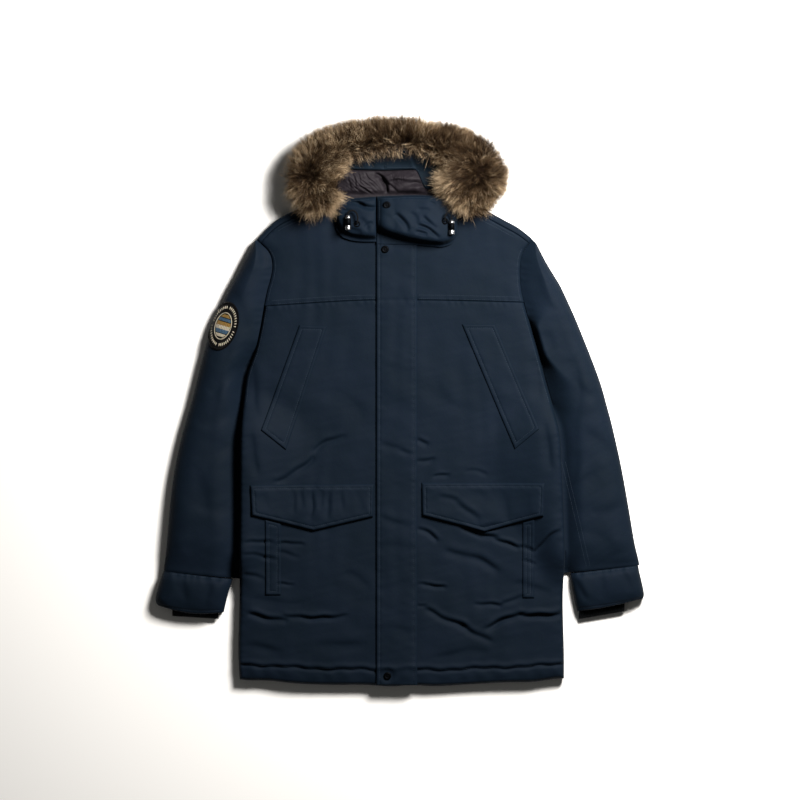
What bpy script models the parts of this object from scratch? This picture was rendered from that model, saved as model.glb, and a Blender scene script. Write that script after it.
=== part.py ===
"""A padded parka with a fur trimmed hood, lying on its back on a flat surface with its front up.

X points to the wearer's left, Y to the hood and Z up. The origin is on the surface, under the
middle of the parka. Sizes are in millimetres, and solid() turns them to Blender's metres. Right and
left are the wearer's, so the right side is at -X. Each cut piece is a closed wall of padded cloth:
a grid of points in plan, with one height for its outer face and one for its inner face.
"""
import math

import bmesh
import bpy
import numpy as np
from mathutils import Vector
from mathutils.bvhtree import BVHTree

for item in list(bpy.data.objects):
    bpy.data.objects.remove(item, do_unlink=True)

MILLIMETRE = 0.001
GAP = 0.3            # between pieces where they are sewn or lie on each other
RIGHT, LEFT = -1, 1

# Padded walls
BACK = 12.0          # back panel
FRONT = 14.0         # front panels and yokes
SEWN = 8.0           # a front panel's thickness where it is sewn down at an outer edge
PUFF = 26.0          # distance from an outer edge over which the padding fills out
SEAM_DIP = 3.0       # how far the padding sinks at a seam within the body
SEAM_HALF = 9.0      # half the width of that dip
EDGE_RISE = 6.0      # how far the underside curls up at an outer edge
EDGE_CURL = 20.0     # width of that curl
LIFT = 24.0          # how high the tucked sleeves hold the body's sides
TUCK_MARGIN = 60.0   # how far past the tucked sleeve the body comes down again
TUCK_CLEAR = 4.0     # from the tucked sleeve up to the body
TUCK_OUT = 6.0       # the sleeve stays that low until this far outside the body

# Body outline, a row for each height on the body: its right and left side or armhole edge
SIDE = np.array([
    # y,    right_x, left_x
    (-484, -280, 283),
    (-450, -282, 283),
    (-337, -280, 281),
    (-268, -280, 284),
    (-195, -279, 282),
    (-114, -279, 278.5),
    (-59, -278, 275),
    (-2, -273, 261),
    (41, -268, 249),
    (86, -253, 237),
    (121, -245, 227),
    (166, -237, 214.5),
    (190, -232, 209),
    (211, -226, 207),
    (233, -223, 207),
    (256, -229, 212),
    (278, -250, 227),
])
# Top edge, over the shoulders and the back of the neck
TOP = np.array([
    # x,   y
    (-252, 277),
    (-218, 311),
    (-189, 327),
    (-150, 341),
    (-110, 352),
    (-60, 356),
    (0, 357),
    (50, 355),
    (95, 350),
    (154, 324),
    (178, 309),
    (205, 294),
    (229, 276),
])
YOKE_SEAM = np.array([
    # x,   y
    (-245, 162),
    (-43, 173),
    (28, 173),
    (220, 169),
])
NECKLINE = np.array([
    # y,  right_x, left_x
    (258, -7.95, -7.65),
    (268, -34, 19),
    (284, -58, 42),
    (310, -78, 62),
    (345, -90, 74),
])
CENTRE = -7.8        # where the two fronts meet, under the storm flap
SHOULDER_ROLL = 13.0  # the back comes this far over the shoulder, down to the front yoke's seam
HEM_SAG = 12.0       # the hem's middle is lower than its ends
HEM_SEAM = -466.0    # stitch line of the turned hem
ROW_Y = (-484, -478, -466, -438, -410, -390, -378, -366, -345, -318, -290, -262, -236, -208, -178,
         -146, -112, -76, -38, 0, 40, 80, 120, 150, 168)
COLUMN_SHARE = (0, 0.03, 0.09, 0.19, 0.32, 0.46, 0.6, 0.74, 0.87, 1)
YOKE_SHARE = (0, 0.25, 0.5, 0.66, 0.84, 1)
ROLL_SHARE = (0, 0.5, 1)

# Folds pressed into the fronts, a row for each: its ends, depth and half width
FOLDS = (
    # x0,   y0,   x1,   y1,   depth, half
    (-262, -376, -100, -373, 5.0, 11),
    (-258, -243, -172, -250, 3.0, 10),
    (-213, -137, -104, -66, 3.0, 12),
    (140, -396, 208, -371, 5.0, 11),
    (208, -371, 278, -371, 5.0, 11),
    (59, -371, 150, -413, 4.0, 10),
    (108, -224, 202, -256, 3.0, 10),
    (84, -270, 168, -298, 3.0, 10),
)

# Sleeves, a row for each section below the armhole, from the tucked fold to the outer fold
SLEEVE = 38.0        # thickest part of a sleeve
SLEEVE_FOLD = 14.0   # height of the outer fold's edge
SLEEVE_ROUND = 38.0  # width over which the sleeve rounds down to the outer fold
SLEEVE_RISE = 42.0   # width over which it rises beside the body
SLEEVE_THIN = 7.0    # least height of its upper face
SLEEVE_SEAM_DIP = 11.0  # how far it is drawn in at the cuff's seam
TUBE_SLIT = 0.6      # between the two walls of a flat tube
SLEEVE_SHARE = (0, 0.08, 0.2, 0.35, 0.5, 0.66, 0.81, 0.92, 0.98, 1)
ARMHOLE_SLEEVE = {
    # armhole_y, outer_x, outer_y: where the section that starts at that height ends, on the outer fold
    RIGHT: ((-4, -363, -2), (40, -353, 38), (80, -344, 74), (120, -335, 106), (150, -327, 132),
            (168, -320, 148), (192, -308, 172), (216, -295, 199), (234, -283, 221), (250, -272, 243),
            (265, -262, 262), (279, -255, 274)),
    LEFT: ((-4, 358, -16), (40, 345, 24), (80, 333, 58), (120, 319, 94), (150, 306, 126),
           (168, 299, 143), (192, 286, 172), (216, 273, 199), (234, 261, 219), (250, 249, 239),
           (265, 240, 256), (279, 233, 270)),
}
LOWER_SLEEVE = {
    # fold_x, fold_y, outer_x, outer_y
    RIGHT: ((-236, -26, -370, -26), (-203, -60, -380, -62), (-195, -100, -389, -102),
            (-206, -140, -396, -142), (-235, -192, -402, -198), (-266, -240, -406, -246),
            (-287, -280, -409, -276), (-292, -303, -411, -289), (-292.5, -310.5, -411.5, -296.5)),
    LEFT: ((226, -34, 362, -38), (196, -64, 369, -68), (190, -100, 377, -104),
           (203, -140, 385, -146), (233, -192, 394, -198), (266, -240, 402, -246),
           (286, -272, 408, -272), (292, -293, 410, -281), (294, -300.5, 411, -286.5)),
}
# Cuffs, a row for each section from the sleeve's seam to the open end
CUFF_FOLD = 12.0     # height of a cuff's folded edges
CUFF_ROUND = 25.0
CUFF_SHARE = (0, 0.012, 0.035, 0.2, 0.4, 0.6, 0.8, 0.95, 1)
CUFF_ROWS = {
    # inner_x, inner_y, outer_x, outer_y, top, hollow
    RIGHT: ((-292.5, -311, -412, -297, 27, 0.6), (-296, -322, -417, -310, 34, 2),
            (-302, -343, -425, -338, 33, 7), (-306, -360, -425.5, -350, 29, 10),
            (-308, -368.5, -422, -356, 24, 11)),
    LEFT: ((294, -301, 411.5, -287, 27, 0.6), (294.5, -313, 414, -299, 34, 2),
           (299, -338, 420, -325, 33, 7), (303, -357, 422, -338, 29, 10),
           (306, -366.5, 420.5, -344, 24, 11)),
}
CUFF_SAG = {RIGHT: 8.0, LEFT: 3.0}   # how far the open end bows out
# Knitted inner cuffs, from inside each cuff to the stub's end
KNIT_RIBS = 10
KNIT_RIB = 0.7
KNIT_ROWS = {
    # inner_x, inner_y, outer_x, outer_y, bottom, top
    RIGHT: ((-318, -346, -396, -343, 13.2, 18.8), (-317, -372, -397, -366.5, 7.8, 15.0),
            (-316.6, -380, -397.3, -375, 3.5, 11.0)),
    LEFT: ((311, -344, 388, -331, 13.2, 18.8), (309, -369, 388, -357.5, 7.8, 15.0),
           (308.5, -380.5, 388, -367, 3.5, 11.0)),
}

# What lies on the fronts
STORM_FLAP = 4.0
STORM_X = (-43.3, 28.2)
STORM_Y = (-494.5, 284)
WELT = 3.0
CHEST_WELT = {
    RIGHT: ((-176, 130), (-128, 128), (-199, -86.5), (-242, -52)),
    LEFT: ((105.5, 131.5), (162.5, 131.5), (239, -50), (197, -85)),
}
SIDE_WELT = {
    RIGHT: ((-235, -207), (-208, -214), (-208, -338), (-235, -338)),
    LEFT: ((210.5, -212), (231, -206.5), (231, -343), (210.5, -343)),
}
POCKET_FLAP = 5.0
POCKET_FLAP_PLAN = {
    RIGHT: ((-261, -147), (-47, -145.5), (-48, -202.5), (-152, -227), (-258, -200)),
    LEFT: ((35.5, -143), (248.5, -143.5), (246.5, -201), (145, -228.5), (36.5, -200.5)),
}
BADGE = 2.0
BADGE_AT = (-305, 127)
BADGE_HALF = (24, 39)
BADGE_LEAN = math.radians(17)

# Collar, hood and fur
COLLAR_BASE = BACK + GAP + FRONT + GAP + STORM_FLAP + GAP
COLLAR_PLAN = {
    # x, lower_y, upper_y, puff
    RIGHT: ((-112, 290, 336, 6), (-104, 285, 344, 12), (-85, 281, 349, 17), (-64, 279, 351, 18),
            (-50, 279, 352, 16), (-43, 280, 352, 13)),
    LEFT: ((-42.4, 304, 352.5, 13), (-34, 299, 353, 22), (-10, 289, 354, 26), (22, 280, 355, 27),
           (54, 275, 354, 26), (76, 274.5, 352, 20), (90, 280, 347, 12), (98, 289, 340, 6)),
}
COLLAR_HEM = 5.0
COLLAR_PROFILE = (
    # share of the way from the lower edge to the upper edge, share of the puff
    (0, 0.15), (0.05, 0.6), (0.14, 0.9), (0.3, 1.0), (0.5, 0.93), (0.7, 0.78), (0.86, 0.62),
    (0.95, 0.5), (1, 0.3),
)
COLLAR_FOLDS = (
    # x0, y0, x1, y1, depth, half
    (-8, 318, 18, 292, 4.0, 6),
    (34, 316, 62, 296, 4.5, 6),
    (36, 330, 60, 322, 2.5, 6),
    (-100, 306, -70, 300, 3.0, 6),
)
SHELL_BASE = 24.0    # the hood's folded crown, under its lining
SHELL_RIM = 30.0     # how far its rim stands above that
SHELL_RIM_IN = 27.0  # from the hood's outline to the rim
SHELL_OUTLINE = np.array([
    # x,   y
    (-172, 396),
    (-160, 424),
    (-130, 446),
    (-80, 460),
    (-10, 466),
    (60, 458),
    (110, 442),
    (140, 420),
    (152, 394),
])
SHELL_SHARE = (0, 0.08, 0.25, 0.42, 0.55, 0.66, 0.76, 0.85, 0.93, 1)
FACING = 4.0
FACING_X = (-122, 86)
FACING_FROM_RIM = (-4, 6, 16, 26, 36)   # rows, from the rim down into the hood
LINING_X = (-112, 84)
LINING_LOW = 326.0
LINING_UNDER_COLLAR = COLLAR_BASE - GAP
LINING_FROM = 24.5   # its underside bridges the neck at least this high
LINING_PUFFS = (
    # x, y, half_x, half_y, height
    (-72, 378, 26, 18, 13),
    (12, 384, 34, 10, 14),
    (22, 366, 38, 8, 10),
    (-96, 388, 14, 10, 6),
)
LINING_FOLDS = (
    # x0, y0, x1, y1, depth, half
    (-38, 396, -22, 358, 10, 5),
    (-90, 392, -60, 362, 4, 4),
    (-76, 394, -46, 362, 4, 4),
    (-60, 395, -36, 368, 4, 4),
)
FUR = (
    # x,   y,   half_width, top
    (-141, 321, 7, 58),
    (-142, 331, 26, 76),
    (-144, 352, 42, 88),
    (-147, 378, 51, 92),
    (-146, 405, 46, 92),
    (-128, 430, 40, 90),
    (-98, 446, 32, 88),
    (-60, 451, 34, 86),
    (-12, 456, 32, 86),
    (40, 451, 31, 86),
    (85, 441, 34, 88),
    (112, 421, 48, 91),
    (121, 395, 56, 93),
    (119, 371, 57, 92),
    (122, 352, 46, 88),
    (127, 334, 28, 78),
    (130, 320, 7, 58),
)
FUR_STEPS = 3        # sections for each row of the table
FUR_POINTS = 16      # round each section
FUR_MIDDLE = 50.0    # height of the ruff's widest line
FUR_FLOOR = 5.0      # the ruff's outer side hangs to this height
FUR_CLEAR = 2.0      # from the hood and shoulders up to the ruff
FUR_TUFT = 3.0       # the lumps of its tufts

# Fittings
SNAP_RADIUS = 6.5
SNAP_HEIGHT = 2.4
SNAP_AT = {"snap_collar": (-24.5, 336.5), "snap_neck": (-27.5, 261), "snap_hem": (-23.5, -478)}
EYELET_AT = {RIGHT: (-76, 304), LEFT: (76, 309)}
EYELET_RADIUS = 4.5
EYELET_WIRE = 1.2
CORD_RADIUS = 1.5
STOPPER_AT = {RIGHT: (-91.5, 306), LEFT: (87.5, 298)}   # middle of each barrel, in plan
STOPPER_HALF = 13.0
STOPPER_BANDS = (
    # share of half the length, radius
    (-1, 3.2), (-0.96, 5.0), (-0.25, 5.4), (-0.2, 4.2), (0.05, 4.2), (0.1, 5.4), (0.55, 5.4),
    (0.6, 4.4), (0.9, 4.4), (1, 2.6),
)
# Each cord's route: from its eyelet up over the collar and into the barrel's upper end
CORD_ROUTE = {
    # x, y, z
    RIGHT: ((-76, 304, 54.5), (-75.8, 305, 57.5), (-75, 310, 59.8), (-75, 317, 59.6), (-77.5, 323.5, 58.8),
            (-82.5, 327, 57.8), (-88, 326.5, 56.8), (-91, 323.5, 56.1), (-91.5, 319.6, 55.9)),
    LEFT: ((76, 309, 58.5), (76, 310, 61.5), (76, 315, 64.0), (77.5, 320, 63.6), (81, 323.2, 61.6),
           (85, 322, 59.2), (87.2, 318.5, 57.4), (87.5, 315, 56.5), (87.5, 311.6, 56.2)),
}


def smooth(share):
    """0 below 0, 1 above 1, and an S curve between."""
    share = np.clip(share, 0, 1)
    return share * share * (3 - 2 * share)


def rounded(share):
    """0 at 0 and 1 from 1 on, along a quarter circle."""
    share = np.clip(share, 0, 1)
    return np.sqrt(1 - (1 - share) ** 2)


def through(knots, values, at):
    """A smooth curve through a table's points: a cubic, with slopes from each knot's neighbours."""
    knots, values = np.asarray(knots, float), np.asarray(values, float)
    slopes = np.gradient(values, knots)
    left = np.clip(np.searchsorted(knots, at) - 1, 0, len(knots) - 2)
    width = knots[left + 1] - knots[left]
    share = np.clip((at - knots[left]) / width, 0, 1)
    ease = share * share * (3 - 2 * share)
    bend = share * (1 - share) * width
    return (values[left] * (1 - ease) + values[left + 1] * ease
            + bend * ((1 - share) * slopes[left] - share * slopes[left + 1]))


def distance_to(line, x, y):
    """Each point's distance in plan to an open line of points."""
    line = np.asarray(line, float)
    best = np.full(np.shape(x), np.inf)
    for start, end in zip(line[:-1], line[1:]):
        along = end - start
        share = ((x - start[0]) * along[0] + (y - start[1]) * along[1]) / max(along @ along, 1e-9)
        share = np.clip(share, 0, 1)
        best = np.minimum(best, np.hypot(x - start[0] - share * along[0],
                                         y - start[1] - share * along[1]))
    return best


def folds(table, x, y):
    """How deep the pressed folds of a table are at each point: soft troughs that fade at their ends."""
    depth = np.zeros(np.shape(x))
    for x0, y0, x1, y1, deep, half in table:
        away = distance_to(((x0, y0), (x1, y1)), x, y)
        depth = np.maximum(depth, deep * np.exp(-(away / half) ** 2))
    return depth


def paint(name, colour, roughness, metallic=0.0):
    """A plain Principled material."""
    material = bpy.data.materials.new(name)
    material.use_nodes = True
    shader = material.node_tree.nodes["Principled BSDF"]
    shader.inputs["Base Color"].default_value = (*colour, 1)
    shader.inputs["Roughness"].default_value = roughness
    shader.inputs["Metallic"].default_value = metallic
    return material


def solid(name, points, faces, material, is_smooth=True):
    """One object from points in millimetres and the faces of one closed body."""
    mesh = bpy.data.meshes.new(name)
    mesh.from_pydata((np.asarray(points) * MILLIMETRE).tolist(), [], faces)
    shell = bmesh.new()
    shell.from_mesh(mesh)
    bmesh.ops.remove_doubles(shell, verts=shell.verts, dist=1e-8)
    bmesh.ops.recalc_face_normals(shell, faces=shell.faces)
    shell.to_mesh(mesh)
    shell.free()
    if is_smooth:
        mesh.shade_smooth()
        mesh.set_sharp_from_angle(angle=math.radians(50))
    mesh.materials.append(material)
    piece = bpy.data.objects.new(name, mesh)
    bpy.context.scene.collection.objects.link(piece)
    return piece


def grid_triangles(rows, columns, first=0, flip=False):
    """Two triangles for each cell of a grid of points, all cut along the same diagonal."""
    faces = []
    for row in range(rows - 1):
        for column in range(columns - 1):
            a = first + row * columns + column
            b, c, d = a + 1, a + columns + 1, a + columns
            faces += [(a, b, c), (a, c, d)]
    return [face[::-1] for face in faces] if flip else faces


def wall(name, x, y, bottom, top, material):
    """A closed wall of cloth over a grid in plan that runs along X, then along Y."""
    rows, columns = x.shape
    upper = np.stack([x, y, top], -1).reshape(-1, 3)
    lower = np.stack([x, y, bottom], -1).reshape(-1, 3)
    count = rows * columns
    faces = grid_triangles(rows, columns) + grid_triangles(rows, columns, count, flip=True)
    index = np.arange(count).reshape(rows, columns)
    rim = [*index[0, :], *index[1:, -1], *index[-1, -2::-1], *index[-2:0:-1, 0]]
    for here, after in zip(rim, rim[1:] + rim[:1]):
        faces += [(here, here + count, after + count), (here, after + count, after)]
    faces = [tuple(int(corner) for corner in face) for face in faces]
    return solid(name, np.vstack([upper, lower]), faces, material)


def laid_on(name, surface, outline, thickness, edge, material, bevel=0.0):
    """A piece that lies on a panel: the panel's own triangles inside a convex outline, moved out.

    It is `edge` thick at its rim and full at the distance `bevel` inside it.
    """
    points, faces = surface
    mesh = bmesh.new()
    corners = [mesh.verts.new(point) for point in points]
    for face in faces:
        mesh.faces.new([corners[corner] for corner in face])
    outline = np.asarray(outline, float)
    middle = outline.mean(axis=0)
    for inset, clears in ((0, True), (bevel, False))[:2 if bevel else 1]:
        for start, end in zip(outline, np.roll(outline, -1, axis=0)):
            outward = np.array([end[1] - start[1], start[0] - end[0]])
            outward /= np.linalg.norm(outward)
            if (start - middle) @ outward < 0:
                outward = -outward
            at = start - outward * inset
            bmesh.ops.bisect_plane(mesh, geom=[*mesh.verts, *mesh.edges, *mesh.faces], dist=1e-4,
                                   plane_co=(*at, 0), plane_no=(*outward, 0), clear_outer=clears)
    bmesh.ops.triangulate(mesh, faces=mesh.faces[:])
    mesh.verts.ensure_lookup_table()
    mesh.verts.index_update()
    flat = np.array([vertex.co[:] for vertex in mesh.verts])
    at_rim = np.array([vertex.is_boundary for vertex in mesh.verts])
    upper = flat + [0, 0, GAP]
    upper[:, 2] += np.where(at_rim, edge, thickness)
    lower = flat + [0, 0, GAP]
    count = len(flat)
    sheet = [tuple(vertex.index for vertex in face.verts) for face in mesh.faces]
    rim = [(loop.vert.index, loop.link_loop_next.vert.index)
           for side in mesh.edges if side.is_boundary for loop in side.link_loops]
    mesh.free()
    closed = sheet + [tuple(corner + count for corner in reversed(face)) for face in sheet]
    for here, after in rim:
        closed += [(here, here + count, after + count), (here, after + count, after)]
    return solid(name, np.vstack([upper, lower]), closed, material)


def flat_tube(name, x, y, bottom, top, slit_low, slit_high, open_until, first, last, material):
    """A tube of cloth pressed flat: rows go down its length, columns from the inner to outer fold.

    Its hollow is the slit between the two walls, from column `first` to `last`, open at both ends
    of the tube. In the rows up to open_until the inner side is open too, as at an armhole.
    """
    rows, columns = x.shape
    sheets = [np.stack([x, y, height + 0 * x], -1) for height in (top, bottom, slit_high, slit_low)]
    points = np.concatenate([sheet.reshape(-1, 3) for sheet in sheets])
    count = rows * columns

    def at(sheet, row, column):
        """A point's number: sheet 0 is the top, 1 the bottom, 2 and 3 the slit's two sides."""
        if sheet == 3 and (column == last or (column == first and row > open_until)):
            sheet = 2
        return sheet * count + row * columns + column

    faces = []

    def quad(a, b, c, d):
        for corners in ((a, b, c), (a, c, d)):
            if len(set(corners)) == 3:
                faces.append(corners)

    def begins(row):
        return 0 if row <= open_until else first

    for row in range(rows - 1):
        for column in range(columns - 1):
            for sheet in (0, 1):
                quad(at(sheet, row, column), at(sheet, row, column + 1),
                     at(sheet, row + 1, column + 1), at(sheet, row + 1, column))
        for column in range(begins(row + 1), last):
            for sheet in (2, 3):
                quad(at(sheet, row, column), at(sheet, row, column + 1),
                     at(sheet, row + 1, column + 1), at(sheet, row + 1, column))
        if row == open_until:
            corner = at(2, row + 1, first)
            faces.append((at(2, row, 0), at(3, row, 0), corner))
            for sheet in (2, 3):
                for column in range(first):
                    faces.append((at(sheet, row, column), at(sheet, row, column + 1), corner))
        outer = columns - 1
        quad(at(0, row, outer), at(1, row, outer), at(1, row + 1, outer), at(0, row + 1, outer))
        if row < open_until:
            quad(at(0, row, 0), at(0, row + 1, 0), at(2, row + 1, 0), at(2, row, 0))
            quad(at(3, row, 0), at(3, row + 1, 0), at(1, row + 1, 0), at(1, row, 0))
        elif row == open_until:
            faces += [(at(0, row, 0), at(0, row + 1, 0), at(2, row, 0)),
                      (at(2, row, 0), at(0, row + 1, 0), at(3, row, 0)),
                      (at(3, row, 0), at(0, row + 1, 0), at(1, row + 1, 0)),
                      (at(3, row, 0), at(1, row + 1, 0), at(1, row, 0))]
        else:
            quad(at(0, row, 0), at(0, row + 1, 0), at(1, row + 1, 0), at(1, row, 0))
    for row, turn in ((0, False), (rows - 1, True)):
        ends = []
        for column in range(columns - 1):
            a, b = at(0, row, column), at(0, row, column + 1)
            c, d = at(1, row, column + 1), at(1, row, column)
            if begins(row) <= column < last:
                pairs = ((b, a, at(2, row, column), at(2, row, column + 1)),
                         (at(3, row, column + 1), at(3, row, column), d, c))
            elif column < begins(row):
                near = [at(2, row, column + 1)] if column + 1 == begins(row) else []
                pairs = ((b, a, d, c, *near),)
            else:
                near = [at(2, row, column)] if column == last else []
                pairs = ((b, a, *near, d, c),)
            ends += [tuple(dict.fromkeys(corners)) for corners in pairs]
        faces += [end[::-1] for end in ends] if turn else ends
    used = sorted({corner for face in faces for corner in face})
    number = {corner: place for place, corner in enumerate(used)}
    faces = [tuple(number[corner] for corner in face) for face in faces]
    return solid(name, points[used], faces, material)


def turned(name, profile, at, material, segments=16, along=Vector((0, 0, 1))):
    """A turned piece: a closed outline of (radius, height) points, spun round an axis at a point."""
    turn = Vector((0, 0, 1)).rotation_difference(along)
    count = len(profile)
    points, faces = [], []
    for step in range(segments):
        angle = 2 * math.pi * step / segments
        for radius, height in profile:
            spun = turn @ Vector((radius * math.cos(angle), radius * math.sin(angle), height))
            points.append(Vector(at) + spun)
    for step in range(segments):
        following = (step + 1) % segments
        for spot in range(count):
            after = (spot + 1) % count
            corners = (step * count + spot, following * count + spot,
                       following * count + after, step * count + after)
            faces.append(corners)
    return solid(name, points, faces, material)


def tops_of(*names):
    """Looks up the height of the highest of these pieces over any point in plan."""
    trees = []
    for name in names:
        mesh = bpy.data.objects[name].data
        mesh.calc_loop_triangles()
        points = [vertex.co / MILLIMETRE for vertex in mesh.vertices]
        trees.append(BVHTree.FromPolygons(points, [t.vertices[:] for t in mesh.loop_triangles]))

    def height(x, y, reach=0.0):
        """The greatest height within `reach` of a point, or 0 where nothing lies."""
        best = 0.0
        spots = [(0, 0)] + [(ring * math.cos(turn * math.pi / 4), ring * math.sin(turn * math.pi / 4))
                            for ring in (0.5, 1) for turn in range(8)]
        for across, up in spots if reach else spots[:1]:
            start = Vector((x + across * reach, y + up * reach, 500))
            for tree in trees:
                hit = tree.ray_cast(start, Vector((0, 0, -1)))[0]
                if hit is not None:
                    best = max(best, hit.z)
        return best
    return height


def side_x(side, y):
    """The body's side or armhole edge."""
    return through(SIDE[:, 0], SIDE[:, 1 if side == RIGHT else 2], y)


def tucked_x(side, y):
    """The tucked fold of a sleeve, under the body."""
    table = np.array([(14, side_x(side, 0.0))] + [(row[1], row[0]) for row in LOWER_SLEEVE[side]])
    return through(table[::-1, 0], table[::-1, 1], y)


def lift(x, y):
    """How high the tucked sleeves hold the body above the surface."""
    along = smooth((30 - y) / 90) * smooth((y + 330) / 70)
    height = np.zeros(np.shape(x))
    for side in (RIGHT, LEFT):
        edge = side_x(side, y)
        down = tucked_x(side, y) - side * TUCK_MARGIN
        height = np.maximum(height, LIFT * along * smooth((x - down) / (edge - down)))
    return height


def row_y(x, nominal):
    """The height on the body of a row of points: bowed at the hem and tilted at the yoke seam."""
    hem = 1 - smooth((nominal - ROW_Y[0]) / 110)
    yoke = smooth((nominal - 40) / (ROW_Y[-1] - 40))
    seam = through(YOKE_SEAM[:, 0], YOKE_SEAM[:, 1], x)
    return nominal - HEM_SAG * hem * (1 - (x / 282) ** 2) + yoke * (seam - ROW_Y[-1])


def upper_y(x, share, is_roll):
    """The same for rows of the yoke, and of the back's strip over the shoulder."""
    yoke = through(YOKE_SEAM[:, 0], YOKE_SEAM[:, 1], x) + GAP
    top = through(TOP[:, 0], TOP[:, 1], x)
    if is_roll:
        return top - (SHOULDER_ROLL - 2 * GAP) * (1 - share)
    return yoke + (top - SHOULDER_ROLL - yoke) * share


def half_row(side, y_of, bound_y, neck):
    """One row of points of one front, from its side edge to the centre or neckline."""
    outer = side_x(side, bound_y)
    for _ in range(12):
        outer = (outer + side_x(side, y_of(outer))) / 2
    inner = CENTRE + side * GAP / 2
    for _ in range(6 if neck else 0):
        column = 1 if side == RIGHT else 2
        inner = through(NECKLINE[:, 0], NECKLINE[:, column], y_of(inner)) if y_of(
            inner) > NECKLINE[0, 0] else CENTRE + side * GAP / 2
    x = outer + (inner - outer) * np.array(COLUMN_SHARE)
    return x, y_of(x)


def body_grid(side):
    """All rows of one half of the body, from the hem to the top of the shoulder."""
    rows = [half_row(side, lambda x, n=n: row_y(x, n), n, False) for n in ROW_Y]
    shoulder = SIDE[-1, 0] - SHOULDER_ROLL
    for share in YOKE_SHARE:
        bound = ROW_Y[-1] + (shoulder - ROW_Y[-1]) * share
        rows.append(half_row(side, lambda x, s=share: upper_y(x, s, False), bound, True))
    for share in ROLL_SHARE:
        bound = shoulder + SHOULDER_ROLL * share
        rows.append(half_row(side, lambda x, s=share: upper_y(x, s, True), bound, True))
    x, y = (np.array(axis) for axis in zip(*rows))
    return (x, y) if side == RIGHT else (x[:, ::-1], y[:, ::-1])


def make_body(cloth):
    """Back panel, two fronts and two yokes, on one shared grid, so that their faces match."""
    (right_x, right_y), (left_x, left_y) = body_grid(RIGHT), body_grid(LEFT)
    x, y = np.hstack([right_x, left_x]), np.hstack([right_y, left_y])
    outline = np.concatenate([
        np.stack([x[0], y[0]], -1), np.stack([x[:, -1], y[:, -1]], -1),
        np.stack([x[-1], y[-1]], -1)[::-1], np.stack([x[:, 0], y[:, 0]], -1)[::-1]])
    edge = distance_to(outline, x, y)
    yoke_row, roll_row = len(ROW_Y), len(ROW_Y) + len(YOKE_SHARE)
    seams = [np.stack([x[row], y[row]], -1) for row in (ROW_Y.index(HEM_SEAM), yoke_row)]
    seams.append(np.stack([x[roll_row], y[roll_row]], -1))
    seam = np.min([distance_to(line, x, y) for line in seams], axis=0)
    raised = lift(x, y)
    middle = raised + BACK
    bottom = raised + EDGE_RISE * (1 - rounded(edge / EDGE_CURL))
    top = middle + GAP + SEWN + (FRONT - SEWN) * rounded(edge / PUFF)
    top -= SEAM_DIP * np.exp(-(seam / SEAM_HALF) ** 2) * smooth(edge / PUFF)
    top -= folds(FOLDS, x, y)
    back_top = middle.copy()
    back_top[roll_row:] = top[roll_row:]
    wall("back_panel", x, y, bottom, back_top, cloth)
    below_roll = y.copy()
    below_roll[roll_row - 1] -= GAP
    half = len(COLUMN_SHARE)
    for label, columns in (("right", slice(0, half)), ("left", slice(half, 2 * half))):
        for name, rows in (("front", slice(0, yoke_row)), ("yoke", slice(yoke_row, roll_row))):
            part = (rows, columns)
            wall(f"{name}_{label}", x[part], below_roll[part], middle[part] + GAP, top[part], cloth)
    body = np.stack([x, y, top], -1)
    return body[:roll_row].reshape(-1, 3), grid_triangles(roll_row, 2 * half), body


def make_on_fronts(panel, cloth):
    """Storm flap, pocket flaps and welts, cut from the fronts' own surface."""
    low, high = STORM_Y
    strip = ((STORM_X[0], low), (STORM_X[1], low), (STORM_X[1], high), (STORM_X[0], high))
    laid_on("storm_flap", panel, strip, STORM_FLAP, STORM_FLAP - 1, cloth)
    for side, label in ((RIGHT, "right"), (LEFT, "left")):
        laid_on(f"chest_welt_{label}", panel, CHEST_WELT[side], WELT, WELT - 1, cloth)
        laid_on(f"pocket_flap_{label}", panel, POCKET_FLAP_PLAN[side], POCKET_FLAP,
                POCKET_FLAP - 2, cloth, 4.0)
        laid_on(f"side_welt_{label}", panel, SIDE_WELT[side], WELT, WELT - 1, cloth)


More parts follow.
